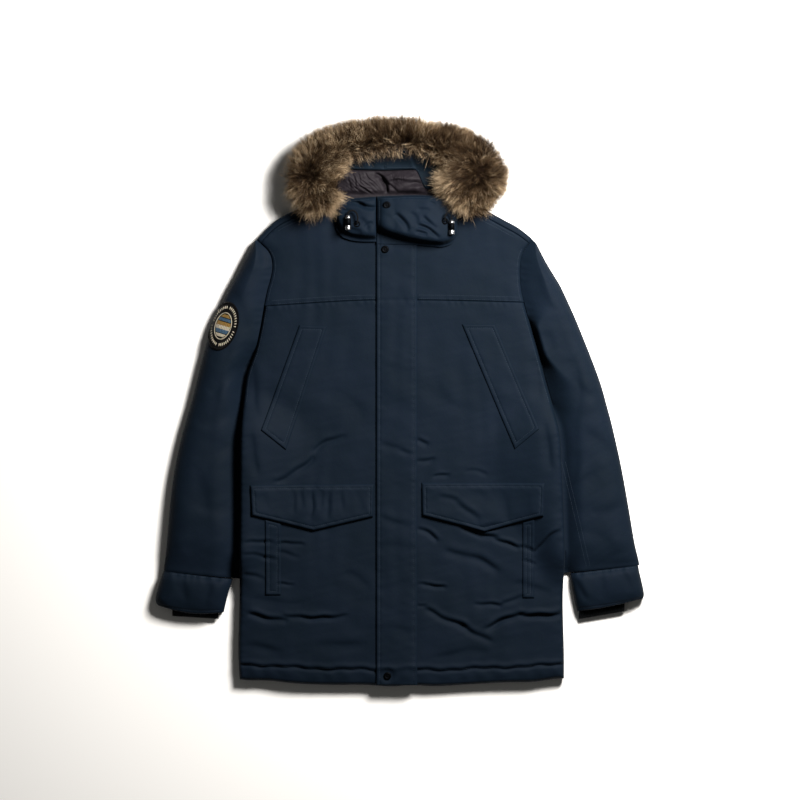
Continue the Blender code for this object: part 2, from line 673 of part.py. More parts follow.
def make_sleeve(side, label, armhole, cloth):
    """One sleeve: sewn to the armhole, then a flat tube with its inner fold tucked under the body."""
    table = np.array(ARMHOLE_SLEEVE[side], float)
    rows = [(x + side * 2 * GAP, y, through(table[:, 0], table[:, 1], y),
             through(table[:, 0], table[:, 2], y)) for x, y in armhole[::-1]]
    open_until = len(rows) - 1
    rows = np.array(rows + list(LOWER_SLEEVE[side]), float)
    share = np.array(SLEEVE_SHARE)
    x = rows[:, :1] + (rows[:, 2:3] - rows[:, :1]) * share
    y = rows[:, 1:2] + (rows[:, 3:4] - rows[:, 1:2]) * share
    width = np.hypot(rows[:, 2] - rows[:, 0], rows[:, 3] - rows[:, 1])[:, None]
    from_outer, from_inner = (1 - share) * width, share * width
    clear_of_body = (x - side_x(side, y)) * side - TUCK_OUT * (y < 0)
    at_edge = lift(side_x(side, y), y) - TUCK_CLEAR
    beside = at_edge + (BACK + SEWN - at_edge) * smooth((y - 8) / 40)
    to_cuff = smooth((rows[:, 1:2] - rows[-1, 1]) / 30)
    full = SLEEVE - SLEEVE_SEAM_DIP * (1 - to_cuff)
    rise = np.sin(np.clip(clear_of_body / SLEEVE_RISE, 0, 1) * math.pi / 2)
    top = np.where(clear_of_body > 0, beside + (full - beside) * rise, lift(x, y) - TUCK_CLEAR)
    top = np.minimum(top, SLEEVE_FOLD + (full - SLEEVE_FOLD) * rounded(from_outer / SLEEVE_ROUND))
    closed = np.arange(len(rows))[:, None] > open_until
    inner = SLEEVE_FOLD / 2 + (full - SLEEVE_FOLD / 2) * rounded(from_inner / SLEEVE_ROUND)
    top = np.maximum(np.where(closed, np.minimum(top, inner), top), SLEEVE_THIN)
    bottom = 5 * (1 - rounded(from_outer / 14)) + closed * 1.5 * (1 - rounded(from_inner / 12))
    middle = (top + bottom) / 2
    flat_tube(f"sleeve_{label}", x, y, bottom, top, middle - TUBE_SLIT / 2, middle + TUBE_SLIT / 2,
              open_until, 1, len(share) - 2, cloth)
    surface = np.stack([x, y, top], -1)
    return surface.reshape(-1, 3), grid_triangles(*x.shape, flip=side == LEFT)


def make_cuff(side, label, cloth, knit):
    """A cuff, a flat tube that opens towards its end, and the knitted tube inside it."""
    rows = np.array(CUFF_ROWS[side], float)
    share = np.array(CUFF_SHARE)
    down = np.linspace(0, 1, len(rows))[:, None]
    x = rows[:, :1] + (rows[:, 2:3] - rows[:, :1]) * share
    y = rows[:, 1:2] + (rows[:, 3:4] - rows[:, 1:2]) * share
    y = y - CUFF_SAG[side] * np.sin(math.pi * share) * down ** 2
    width = np.hypot(rows[:, 2] - rows[:, 0], rows[:, 3] - rows[:, 1])[:, None]
    from_fold = np.minimum(share, 1 - share) * width
    top = CUFF_FOLD + (rows[:, 4:5] - CUFF_FOLD) * rounded(from_fold / CUFF_ROUND)
    bottom = 4 * (1 - rounded(from_fold / 12)) + 0 * top
    middle = (rows[:, 4:5] + 0 * top) / 2
    middle = np.minimum(middle, (top + bottom) / 2 + 2)
    slit = rows[:, 5:6] / 2
    flat_tube(f"cuff_{label}", x, y, bottom, top, middle - slit, middle + slit, -1, 1,
              len(share) - 2, cloth)
    rows = np.array(KNIT_ROWS[side], float)
    share = np.linspace(0, 1, 2 * KNIT_RIBS + 1)
    x = rows[:, :1] + (rows[:, 2:3] - rows[:, :1]) * share
    y = rows[:, 1:2] + (rows[:, 3:4] - rows[:, 1:2]) * share
    rib = KNIT_RIB * (np.arange(len(share)) % 2)
    round_off = 0.3 + 0.7 * rounded(np.minimum(share, 1 - share) / 0.08)
    middle = (rows[:, 4:5] + rows[:, 5:6]) / 2
    half = (rows[:, 5:6] - rows[:, 4:5]) / 2 * round_off
    flat_tube(f"knit_cuff_{label}", x, y, middle - half + rib, middle + half - rib,
              middle - TUBE_SLIT / 2, middle + TUBE_SLIT / 2, -1, 1, len(share) - 2, knit)


def make_collar(side, label, cloth):
    """One front of the collar: a puffy panel that folds down over the top of the storm flap."""
    columns = np.array(COLLAR_PLAN[side], float)
    share, puff = np.array(COLLAR_PROFILE).T
    x = np.broadcast_to(columns[:, 0], (len(share), len(columns)))
    y = columns[:, 1] + (columns[:, 2] - columns[:, 1]) * share[:, None]
    bottom = np.full(x.shape, COLLAR_BASE)
    top = bottom + COLLAR_HEM + columns[:, 3] * puff[:, None]
    top -= folds(COLLAR_FOLDS, x, y)
    wall(f"collar_{label}", x, y, bottom, top, cloth)


def shell_edge(x):
    """The hood's outline behind the neck."""
    return through(SHELL_OUTLINE[:, 0], SHELL_OUTLINE[:, 1], x)


def make_hood(cloth, lining):
    """The hood's crown, folded flat behind the neck, with its facing and gathered lining."""
    columns = np.linspace(SHELL_OUTLINE[0, 0], SHELL_OUTLINE[-1, 0], 17)
    share = np.array(SHELL_SHARE)[:, None]
    low = through(TOP[:, 0], TOP[:, 1], columns) + 2 * GAP
    x = np.broadcast_to(columns, (len(share), len(columns)))
    y = low + (shell_edge(columns) - low) * share
    line = np.linspace(SHELL_OUTLINE[0, 0], SHELL_OUTLINE[-1, 0], 60)
    ends = [(SHELL_OUTLINE[0, 0], low[0])], [(SHELL_OUTLINE[-1, 0], low[-1])]
    outline = np.concatenate([ends[0], np.stack([line, shell_edge(line)], -1), ends[1]])
    away = distance_to(outline, x, y)
    rim = SHELL_RIM * np.exp(-((away - SHELL_RIM_IN) / 17) ** 2)
    top = 12 + (SHELL_BASE - 12 + rim) * rounded(away / 16)
    top = np.minimum(top, 14 + (SHELL_BASE + SHELL_RIM) * rounded((y - low) / 30))
    bottom = EDGE_RISE * (1 - rounded(away / EDGE_CURL)) + 0 * top
    wall("hood_shell", x, y, bottom, top, cloth)

    over_shell = np.vectorize(tops_of("hood_shell"))
    columns = np.linspace(*FACING_X, 17)
    rows = np.array(FACING_FROM_RIM, float)[::-1, None]
    x = np.broadcast_to(columns, (len(rows), len(columns)))
    y = shell_edge(columns) - SHELL_RIM_IN - rows
    bottom = over_shell(x, y, 7.0) + 2 * GAP
    thick = FACING * np.array([0.5, 1, 1, 1, 0.5])[:, None]
    wall("hood_facing", x, y, bottom, bottom + thick, cloth)

    columns = np.linspace(*LINING_X, 21)
    share = np.array((0, 0.22, 0.34, 0.42, 0.52, 0.62, 0.72, 0.82, 0.92, 1))[:, None]
    high = shell_edge(columns) - SHELL_RIM_IN - FACING_FROM_RIM[-1] - 2 * GAP
    x = np.broadcast_to(columns, (len(share), len(columns)))
    y = LINING_LOW + (high - LINING_LOW) * share
    under = np.vectorize(tops_of("hood_shell", "back_panel", "yoke_right", "yoke_left"))
    bottom = np.maximum(under(x, y, 10.0) + GAP, LINING_FROM)
    shows = smooth((y - 357) / 8)
    recess = 5 * smooth((x - 46) / 12)
    top = LINING_UNDER_COLLAR + shows * (3 - recess - folds(LINING_FOLDS, x, y))
    for at_x, at_y, half_x, half_y, height in LINING_PUFFS:
        top = top + shows * height * np.exp(-((x - at_x) / half_x) ** 2 - ((y - at_y) / half_y) ** 2)
    top = np.maximum(top, bottom + 1.5)
    top = np.where(y < 359, np.minimum(top, LINING_UNDER_COLLAR), top)
    bottom = np.minimum(bottom, top - 1.5)
    wall("hood_lining", x, y, bottom, top, lining)


def make_fur(fur):
    """The fur ruff on the hood's edge: a tufted roll whose two ends hang at the chin."""
    table = np.array(FUR, float)
    spots = np.linspace(0, len(table) - 1, FUR_STEPS * (len(table) - 1) + 1)
    x, y, half, top = (through(np.arange(len(table)), column, spots) for column in table.T)
    along = np.stack([np.gradient(x), np.gradient(y)], -1)
    along /= np.linalg.norm(along, axis=1)[:, None]
    across = np.stack([along[:, 1], -along[:, 0]], -1)
    under = tops_of("hood_shell", "back_panel", "yoke_right", "yoke_left", "collar_right",
                    "collar_left", "hood_facing", "hood_lining", "sleeve_right", "sleeve_left")
    points = [(x[0], y[0] - 4, FUR_MIDDLE + 4)]
    for spot in range(len(spots)):
        for step in range(FUR_POINTS):
            angle = 2 * math.pi * step / FUR_POINTS
            tuft = FUR_TUFT * math.sin(3.1 * spot + 2.3 * step) * math.sin(1.7 * step - 0.9 * spot)
            reach = (half[spot] + tuft) * math.cos(angle)
            px, py = x[spot] + across[spot, 0] * reach, y[spot] + across[spot, 1] * reach
            rise = math.sin(angle)
            if rise >= 0:
                z = FUR_MIDDLE + (top[spot] + tuft - FUR_MIDDLE) * rise
            else:
                z = FUR_MIDDLE + (FUR_MIDDLE - FUR_FLOOR) * rise
            points.append((px, py, max(z, under(px, py, 12.0) + FUR_CLEAR)))
    points.append((x[-1], y[-1] - 4, FUR_MIDDLE + 4))
    faces = []
    for spot in range(len(spots) - 1):
        for step in range(FUR_POINTS):
            a = 1 + spot * FUR_POINTS + step
            b = 1 + spot * FUR_POINTS + (step + 1) % FUR_POINTS
            faces += [(a, b, b + FUR_POINTS), (a, b + FUR_POINTS, a + FUR_POINTS)]
    last = 1 + (len(spots) - 1) * FUR_POINTS
    for step in range(FUR_POINTS):
        following = (step + 1) % FUR_POINTS
        faces.append((0, 1 + step, 1 + following))
        faces.append((len(points) - 1, last + following, last + step))
    solid("fur_ruff", points, faces, fur)


def make_fittings(metal, cord, barrel):
    """Snaps on the storm flap and collar, and a cord with its eyelet and stopper on each side."""
    over = tops_of("storm_flap", "collar_right", "collar_left")
    cap = [(0, 0), (SNAP_RADIUS, 0), (SNAP_RADIUS, 1.2), (SNAP_RADIUS - 2, SNAP_HEIGHT),
           (SNAP_RADIUS - 3.2, SNAP_HEIGHT - 0.5), (0, SNAP_HEIGHT - 0.5)]
    for name, (x, y) in SNAP_AT.items():
        turned(name, cap, (x, y, over(x, y, SNAP_RADIUS) + GAP), metal, 16)
    ring = [(EYELET_RADIUS + EYELET_WIRE * math.cos(a), EYELET_WIRE * math.sin(a) + EYELET_WIRE)
            for a in np.linspace(0, 2 * math.pi, 6)[:-1]]
    for side, label in ((RIGHT, "right"), (LEFT, "left")):
        x, y = EYELET_AT[side]
        turned(f"eyelet_{label}", ring, (x, y, over(x, y, EYELET_RADIUS + EYELET_WIRE) + GAP), metal, 12)
        x, y = STOPPER_AT[side]
        height = max(over(x, y + step, 3.0) for step in (-STOPPER_HALF, 0, STOPPER_HALF))
        profile = [(radius, share * STOPPER_HALF) for share, radius in STOPPER_BANDS]
        profile = [(0, -STOPPER_HALF), *profile, (0, STOPPER_HALF)]
        turned(f"cord_stopper_{label}", profile, (x, y, height + 5.4 + GAP), barrel, 12,
               Vector((0, 1, 0)))
        route = np.array(CORD_ROUTE[side], float)
        spots = np.linspace(0, len(route) - 1, 15)
        line = np.stack([through(np.arange(len(route)), column, spots) for column in route.T], -1)
        curve = bpy.data.curves.new(f"cord_{label}", "CURVE")
        curve.dimensions = "3D"
        curve.bevel_depth = CORD_RADIUS * MILLIMETRE
        curve.bevel_resolution = 2
        curve.use_fill_caps = True
        spline = curve.splines.new("POLY")
        spline.points.add(len(line) - 1)
        for point, (px, py, pz) in zip(spline.points, line * MILLIMETRE):
            point.co = (px, py, pz, 1)
        curve.materials.append(cord)
        bpy.context.scene.collection.objects.link(bpy.data.objects.new(f"cord_{label}", curve))


CLOTH = paint("navy polyester cloth", (0.010, 0.020, 0.034), 0.75)
KNIT = paint("black rib knit", (0.004, 0.006, 0.008), 0.9)
SATIN = paint("grey lining", (0.032, 0.028, 0.034), 0.45)
PELT = paint("brown fur", (0.060, 0.035, 0.018), 0.95)
METAL = paint("dark nickel", (0.05, 0.05, 0.055), 0.35, 1.0)
CORD = paint("black cord", (0.006, 0.007, 0.009), 0.8)
BARREL = paint("steel barrel", (0.45, 0.45, 0.46), 0.3, 1.0)
PATCH = paint("embroidered patch", (0.30, 0.28, 0.22), 0.85)

FRONT_SURFACE, FRONT_FACES, BODY = make_body(CLOTH)
make_on_fronts((FRONT_SURFACE, FRONT_FACES), CLOTH)
UNDERARM_ROW = ROW_Y.index(0)
for SIDE_OF, NAME in ((RIGHT, "right"), (LEFT, "left")):
    ARMHOLE = BODY[UNDERARM_ROW:, 0 if SIDE_OF == RIGHT else -1, :2]
    SLEEVE_SURFACE = make_sleeve(SIDE_OF, NAME, ARMHOLE, CLOTH)
    make_cuff(SIDE_OF, NAME, CLOTH, KNIT)
    make_collar(SIDE_OF, NAME, CLOTH)
    if SIDE_OF == RIGHT:
        TURNS = np.linspace(0, 2 * math.pi, 19)[:-1]
        ACROSS, UP = BADGE_HALF[0] * np.cos(TURNS), BADGE_HALF[1] * np.sin(TURNS)
        OVAL = np.stack([BADGE_AT[0] + ACROSS * math.cos(BADGE_LEAN) + UP * math.sin(BADGE_LEAN),
                         BADGE_AT[1] - ACROSS * math.sin(BADGE_LEAN) + UP * math.cos(BADGE_LEAN)], -1)
        laid_on("sleeve_badge", SLEEVE_SURFACE, OVAL, BADGE, BADGE - 0.5, PATCH)
make_hood(CLOTH, SATIN)
make_fur(PELT)
make_fittings(METAL, CORD, BARREL)
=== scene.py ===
from functools import partial
import math

import bpy
import numpy as np
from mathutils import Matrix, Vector
from mathutils.bvhtree import BVHTree


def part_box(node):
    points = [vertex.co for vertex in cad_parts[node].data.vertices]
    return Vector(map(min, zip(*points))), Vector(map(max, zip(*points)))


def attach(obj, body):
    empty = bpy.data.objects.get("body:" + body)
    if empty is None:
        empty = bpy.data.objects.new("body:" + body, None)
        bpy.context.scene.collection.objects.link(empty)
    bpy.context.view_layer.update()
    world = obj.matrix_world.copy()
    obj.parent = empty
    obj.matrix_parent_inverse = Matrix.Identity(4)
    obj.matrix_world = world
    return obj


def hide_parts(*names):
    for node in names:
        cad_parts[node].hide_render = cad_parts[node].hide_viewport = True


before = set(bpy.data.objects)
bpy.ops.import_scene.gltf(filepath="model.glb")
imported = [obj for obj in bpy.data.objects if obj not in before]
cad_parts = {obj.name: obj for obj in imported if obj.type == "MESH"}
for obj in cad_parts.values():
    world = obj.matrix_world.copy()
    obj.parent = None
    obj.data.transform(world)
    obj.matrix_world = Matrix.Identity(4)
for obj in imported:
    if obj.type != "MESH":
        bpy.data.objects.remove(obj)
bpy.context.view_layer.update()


# ---------------------------------------------------------------------------------------------
# Table, lights and camera. A matt white tabletop under soft studio light: a large softbox high on
# the right beyond the hood, a weak fill, and a pale room. The camera looks straight down.

def linear(code):
    """An sRGB hex colour as linear red, green, blue and alpha."""
    parts = np.array([int(code[i:i + 2], 16) for i in (1, 3, 5)]) / 255
    parts = np.where(parts <= 0.04045, parts / 12.92, ((parts + 0.055) / 1.055) ** 2.4)
    return (*parts.tolist(), 1.0)


def add_node(tree, kind, settings, out=0):
    """Adds a node of a kind, or takes one as it is, sets its sockets or properties by name or number,
    and gives one of its outputs. An output among the settings is linked; stops are a ramp's."""
    node = tree.nodes.new("ShaderNode" + kind) if isinstance(kind, str) else kind
    for name, value in settings.items():
        if name == "stops":
            for _ in value[2:]:
                node.color_ramp.elements.new(0.5)
            for stop, (position, code) in zip(node.color_ramp.elements, value):
                stop.position, stop.color = position, linear(code)
        elif isinstance(value, bpy.types.NodeSocket):
            tree.links.new(value, node.inputs[name])
        elif isinstance(name, int) or name in node.inputs:
            node.inputs[name].default_value = linear(value) if isinstance(value, str) else value
        else:
            setattr(node, name, value)
    return node.outputs[out] if len(node.outputs) else None


def new_material(name):
    """A node material, what adds a node to it, and its Principled shader."""
    material = bpy.data.materials.new(name)
    material.use_nodes = True
    tree = material.node_tree
    return material, partial(add_node, tree), tree.nodes["Principled BSDF"]


def show(thing):
    """Puts an object in the scene."""
    bpy.context.scene.collection.objects.link(thing)
    return thing


TABLE_HALF, TABLE_DEPTH = 4.0, 0.0004
table_mesh = bpy.data.meshes.new("tabletop")
corners = np.array([(-1, -1, 0), (1, -1, 0), (1, 1, 0), (-1, 1, 0)]) * TABLE_HALF - [0, 0, TABLE_DEPTH]
table_mesh.from_pydata(corners.tolist(), [], [(0, 1, 2, 3)])
tabletop = show(bpy.data.objects.new("tabletop", table_mesh))
# Matt emulsion paint: white, with no shine
paint, add, shader = new_material("matt_white_paint")
add(shader, {"Base Color": "#f7f7f6", "Roughness": 0.95})
table_mesh.materials.append(paint)

LAMPS = (
    # name, place, size, power, colour
    ("softbox", (0.66, 0.74, 1.16), 0.5, 78.0, "#fffbf6"),
    ("fill", (-1.6, -2.0, 3.0), 2.6, 2.5, "#f8f5ee"),
)
for name, place, size, power, colour in LAMPS:
    lamp = bpy.data.lights.new(name, "AREA")
    lamp.shape, lamp.size, lamp.energy, lamp.color = "SQUARE", size, power, linear(colour)[:3]
    stand = show(bpy.data.objects.new(name, lamp))
    stand.location, stand.rotation_euler = place, (-Vector(place)).to_track_quat("-Z", "Y").to_euler()
room = bpy.data.worlds.new("pale_room")
room.use_nodes = True
add_node(room.node_tree, room.node_tree.nodes["Background"], {"Color": "#f6f4ee", "Strength": 0.06})
bpy.context.scene.world = room
bpy.context.scene.view_settings.view_transform = "Standard"

CAMERA_HEIGHT = 8.0      # metres: far enough that the fur isn't drawn larger than the hem
FRAME_WIDTH = 1.384      # metres across the picture, at the garment's middle height
MIDDLE_HEIGHT, SENSOR = 0.04, 36.0
lens = bpy.data.cameras.new("camera")
lens.sensor_width, lens.clip_end = SENSOR, 40.0
lens.lens = SENSOR * (CAMERA_HEIGHT - MIDDLE_HEIGHT) / FRAME_WIDTH
camera = show(bpy.data.objects.new("camera", lens))
camera.location = (-0.0017, 0.0, CAMERA_HEIGHT)
bpy.context.scene.camera = camera


# ---------------------------------------------------------------------------------------------
# Hood cords: 3 mm round braided elastic, black. Each comes up out of its eyelet, turns over the top of
# the collar and ends inside its stopper, a satin nickel barrel with a spring button.

MM = 0.001
RIGHT, LEFT = -1, 1          # the wearer's
SIDES = ((RIGHT, "right"), (LEFT, "left"))
CORD_HALF = 1.5
CORD_ROUTE = {
    # x, y, z, in millimetres
    RIGHT: ((-76, 304, 54.5), (-75.8, 305, 57.5), (-75, 310, 59.8), (-75, 317, 59.6),
            (-77.5, 323.5, 58.8), (-82.5, 327, 57.8), (-88, 326.5, 56.8), (-91, 323.5, 56.1),
            (-91.5, 319.6, 55.9)),
    LEFT: ((76, 309, 58.5), (76, 310, 61.5), (76, 315, 64.0), (77.5, 320, 63.6),
           (81, 323.2, 61.6), (85, 322, 59.2), (87.2, 318.5, 57.4), (87.5, 315, 56.5),
           (87.5, 311.6, 56.2)),
}


def through(knots, values, at):
    """A cubic through a table's points, with each knot's slope taken from its neighbours."""
    knots, values = np.asarray(knots, float), np.asarray(values, float)
    slopes = np.gradient(values, knots)
    left = np.clip(np.searchsorted(knots, at) - 1, 0, len(knots) - 2)
    width = knots[left + 1] - knots[left]
    share = np.clip((at - knots[left]) / width, 0, 1)
    s_curve = share * share * (3 - 2 * share)
    bend = share * (1 - share) * width
    return (values[left] * (1 - s_curve) + values[left + 1] * s_curve
            + bend * ((1 - share) * slopes[left] - share * slopes[left + 1]))


def read(table, at, column=1):
    """A column of a table where its first column has a value."""
    table = np.asarray(table, float)
    return through(table[:, 0], table[:, column], at)


def rows_at(table, at):
    """Every column of a table at places that count its rows from 0."""
    return [through(np.arange(len(table)), column, at) for column in np.asarray(table, float).T]


def unit(vectors):
    """Vectors made one long."""
    return vectors / np.maximum(np.linalg.norm(vectors, axis=-1), 1e-6)[..., None]


def run_of(line):
    """How far along a line of points each of them is."""
    return np.append(0, np.cumsum(np.linalg.norm(np.diff(line, axis=0), axis=1)))


def node_box(name):
    """A CAD node's lowest and highest corner, in millimetres."""
    return [np.array(corner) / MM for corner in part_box(name)]


def quads(rows, columns, turned_over=False, wrap=(0, 1)):
    """The faces of a grid of points that closes on itself along its columns, its rows or neither."""
    index = np.pad(np.arange(rows * columns).reshape(rows, columns), ((0, wrap[0]), (0, wrap[1])), "wrap")
    faces = np.stack([index[:-1, :-1], index[:-1, 1:], index[1:, 1:], index[1:, :-1]], -1).reshape(-1, 4)
    return faces[:, [0, 3, 2, 1]] if turned_over else faces


def make_piece(name, points, faces, material, uv=None):
    """An object from points in millimetres and its faces, with a UV map in metres."""
    mesh = bpy.data.meshes.new(name)
    count, flat = np.array([len(face) for face in faces]), np.concatenate(faces)
    mesh.vertices.add(len(points))
    mesh.vertices.foreach_set("co", (np.asarray(points, float) * MM).astype(np.float32).ravel())
    mesh.loops.add(len(flat))
    mesh.loops.foreach_set("vertex_index", flat.astype(np.int32))
    mesh.polygons.add(len(count))
    mesh.polygons.foreach_set("loop_start", np.append(0, np.cumsum(count)[:-1]).astype(np.int32))
    mesh.update(calc_edges=True)
    mesh.shade_smooth()
    if uv is not None:
        mesh.uv_layers.new(name="cut").data.foreach_set("uv", np.asarray(uv, np.float32)[flat].ravel())
    mesh.materials.append(material)
    piece = show(bpy.data.objects.new(name, mesh))
    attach(piece, "root")
    return piece


def capped(name, rings, poles, material):
    """A closed surface over rings of points, with a pole before the first and one after the last."""
    rows, around = rings.shape[:2]
    first, last = np.arange(around), (rows - 1) * around + np.arange(around)
    low = np.stack([np.full(around, rows * around), np.roll(first, -1), first], -1)
    high = np.stack([np.full(around, rows * around + 1), last, np.roll(last, -1)], -1)
    faces = [*quads(rows, around), *low, *high]
    return make_piece(name, np.vstack([rings.reshape(-1, 3), *poles]), faces, material)


def lathed(name, profile, centre, axis, sides, material):
    """A lathe shape: a profile of (radius, height) from pole to pole, spun about an axis."""
    radius, height = np.asarray(profile, float).T[:, :, None, None]
    axis = np.asarray(axis, float)
    first = np.cross(axis, [0.0, 0.0, 1.0] if abs(axis[2]) < 0.9 else [1.0, 0.0, 0.0])
    turn = np.arange(sides)[None, :, None] * 2 * math.pi / sides
    rings = height * axis + radius * (np.cos(turn) * first + np.sin(turn) * np.cross(axis, first))
    rings = rings + np.asarray(centre, float)
    return capped(name, rings[1:-1], rings[[0, -1], :1], material)


# Braided elastic cord: black polyester over rubber, matt; its crossing strands are 0.55 mm wide
WAVE = 0.628      # a wave texture's scale times the length in metres of two of its bands
braid, add, shader = new_material("black_braided_elastic")
cut = add("UVMap", {"uv_map": "cut"})
strands = [add("TexWave", {"Scale": WAVE / 0.0011, "bands_direction": "X",
                           "Vector": add("Mapping", {"Rotation": (0, 0, lean), "Vector": cut})}, "Fac")
           for lean in (0.7, -0.7)]
crossing = add("Math", {"operation": "MAXIMUM", 0: strands[0], 1: strands[1]})
bump = add("Bump", {"Strength": 0.8, "Distance": 0.0005, "Height": crossing})
add(shader, {"Base Color": "#050608", "Roughness": 0.8, "Specular IOR Level": 0.12, "Normal": bump})

# Dark nickel plate: near black, dull and a little scuffed, as on snaps and eyelets
gunmetal, add, shader = new_material("dark_nickel_plate")
place = add("TexCoord", {}, "Object")
scuffs = add("TexNoise", {"Scale": 420.0, "Detail": 4.0, "Vector": place})
dull = add("MapRange", {"To Min": 0.45, "To Max": 0.65, "Value": scuffs})
add(shader, {"Base Color": "#08090b", "Metallic": 1.0, "Roughness": dull})

# Satin nickel plate on a zinc casting: a mid grey metal with fine turning marks, 0.3 mm apart
nickel, add, shader = new_material("satin_nickel_plate")
place = add("TexCoord", {}, "Object")
marks = add("TexWave", {"Scale": WAVE / 0.0006, "bands_direction": "Y", "Distortion": 0.6,
                        "Vector": place}, "Fac")
tarnish = add("TexNoise", {"Scale": 260.0, "Detail": 3.0, "Vector": place})
wear = add("MapRange", {"To Min": 0.22, "To Max": 0.42, "Value": tarnish})
bump = add("Bump", {"Strength": 0.15, "Distance": 0.0001, "Height": marks})
add(shader, {"Base Color": "#8f9194", "Metallic": 1.0, "Roughness": wear, "Normal": bump})

STOPPER_PROFILE = (
    # radius, share of half the length
    (0, -1.0), (3.6, -1.0), (4.7, -0.975), (5.2, -0.92), (5.3, -0.85), (5.3, -0.42), (5.1, -0.38),
    (4.2, -0.36), (4.2, 0.5), (4.9, 0.53), (5.2, 0.58), (5.2, 0.74), (4.9, 0.79), (4.0, 0.82),
    (3.9, 0.92), (3.2, 0.98), (2.4, 1.0), (0, 1.0),
)
SPRING_SLEEVE = ((0, -0.34), (4.4, -0.34), (4.9, -0.31), (4.9, 0.45), (4.4, 0.49), (0, 0.49))
for side, label in SIDES:
    low, high = node_box(f"cord_stopper_{label}")
    place, stretch = (low + high) / 2, [1, (high[1] - low[1]) / 2]
    barrel = lathed(f"stopper_{label}", np.array(STOPPER_PROFILE) * stretch, place, (0, 1, 0), 32, nickel)
    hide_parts(f"cord_stopper_{label}")
    sleeve = lathed(f"stopper_{label}_sleeve", np.array(SPRING_SLEEVE) * stretch, place, (0, 1, 0), 32,
                    gunmetal)
    # The cord: rings of 12 points square to its line, and a flat face at each end
    line = np.stack(rows_at(CORD_ROUTE[side], np.linspace(0, len(CORD_ROUTE[side]) - 1, 49)), -1)
    tangent = unit(np.gradient(line, axis=0))
    first = unit(np.cross(tangent, [-side, 0.0, 1.0]))
    turn = np.arange(12)[:, None] * math.pi / 6
    rings = np.cos(turn) * first[:, None] + np.sin(turn) * np.cross(tangent, first)[:, None]
    rings = line[:, None] + CORD_HALF * rings
    reach = run_of(line)
    uv = np.stack(np.broadcast_arrays(turn[:, 0] * CORD_HALF, reach[:, None]), -1).reshape(-1, 2) * MM
    ends = np.arange(12)
    piece = make_piece(f"cord_{label}_braid", rings.reshape(-1, 3),
                       [*quads(49, 12), ends[::-1], 48 * 12 + ends], braid, uv)
    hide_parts(f"cord_{label}")


# ---------------------------------------------------------------------------------------------
# Body: a back, two fronts and two front yokes, cut from navy polyester microfibre over a thin
# synthetic wadding and sewn edge to edge. The back rolls over the shoulders to the front. The sides
# ride up over the sleeves, which are tucked under them.

BACK, FRONT, SEWN, GAP = 12.0, 14.0, 8.0, 0.3
PUFF, LIFT, TUCK_MARGIN = 26.0, 24.0, 60.0
SIDE = np.array([
    # y,    right_x, left_x
    (-484, -280, 283), (-450, -282, 283), (-337, -280, 281), (-268, -280, 284), (-195, -279, 282),
    (-114, -279, 278.5), (-59, -278, 275), (-2, -273, 261), (41, -268, 249), (86, -253, 237),
    (121, -245, 227), (166, -237, 214.5), (190, -232, 209), (211, -226, 207), (233, -223, 207),
    (256, -229, 212), (278, -250, 227),
])
TOP = np.array([
    # x,   y
    (-252, 277), (-218, 311), (-189, 327), (-150, 341), (-110, 352), (-60, 356), (0, 357),
    (50, 355), (95, 350), (154, 326), (178, 313), (205, 298), (229, 279),
])
YOKE_SEAM = np.array([
    # x,   y
    (-245, 162), (-43, 173), (28, 173), (220, 169),
])
NECKLINE = np.array([
    # y,  right_x, left_x
    (258, -7.95, -7.65), (268, -34, 19), (284, -58, 42), (310, -78, 62), (345, -90, 74),
])
TUCKED = {
    # y, x of each sleeve's inner fold, under the body
    RIGHT: ((-310.5, -292.5), (-303, -292), (-280, -287), (-240, -266), (-192, -235), (-140, -206),
            (-100, -195), (-60, -203), (-26, -236), (14, -273)),
    LEFT: ((-300.5, 294), (-293, 292), (-272, 286), (-240, 266), (-192, 233), (-140, 203),
           (-100, 190), (-64, 196), (-34, 226), (14, 261)),
}
CENTRE = -7.8
ROLL = 13.0
HEM_Y, HEM_SEAM, HEM_SAG = -484.0, -458.0, 12.0

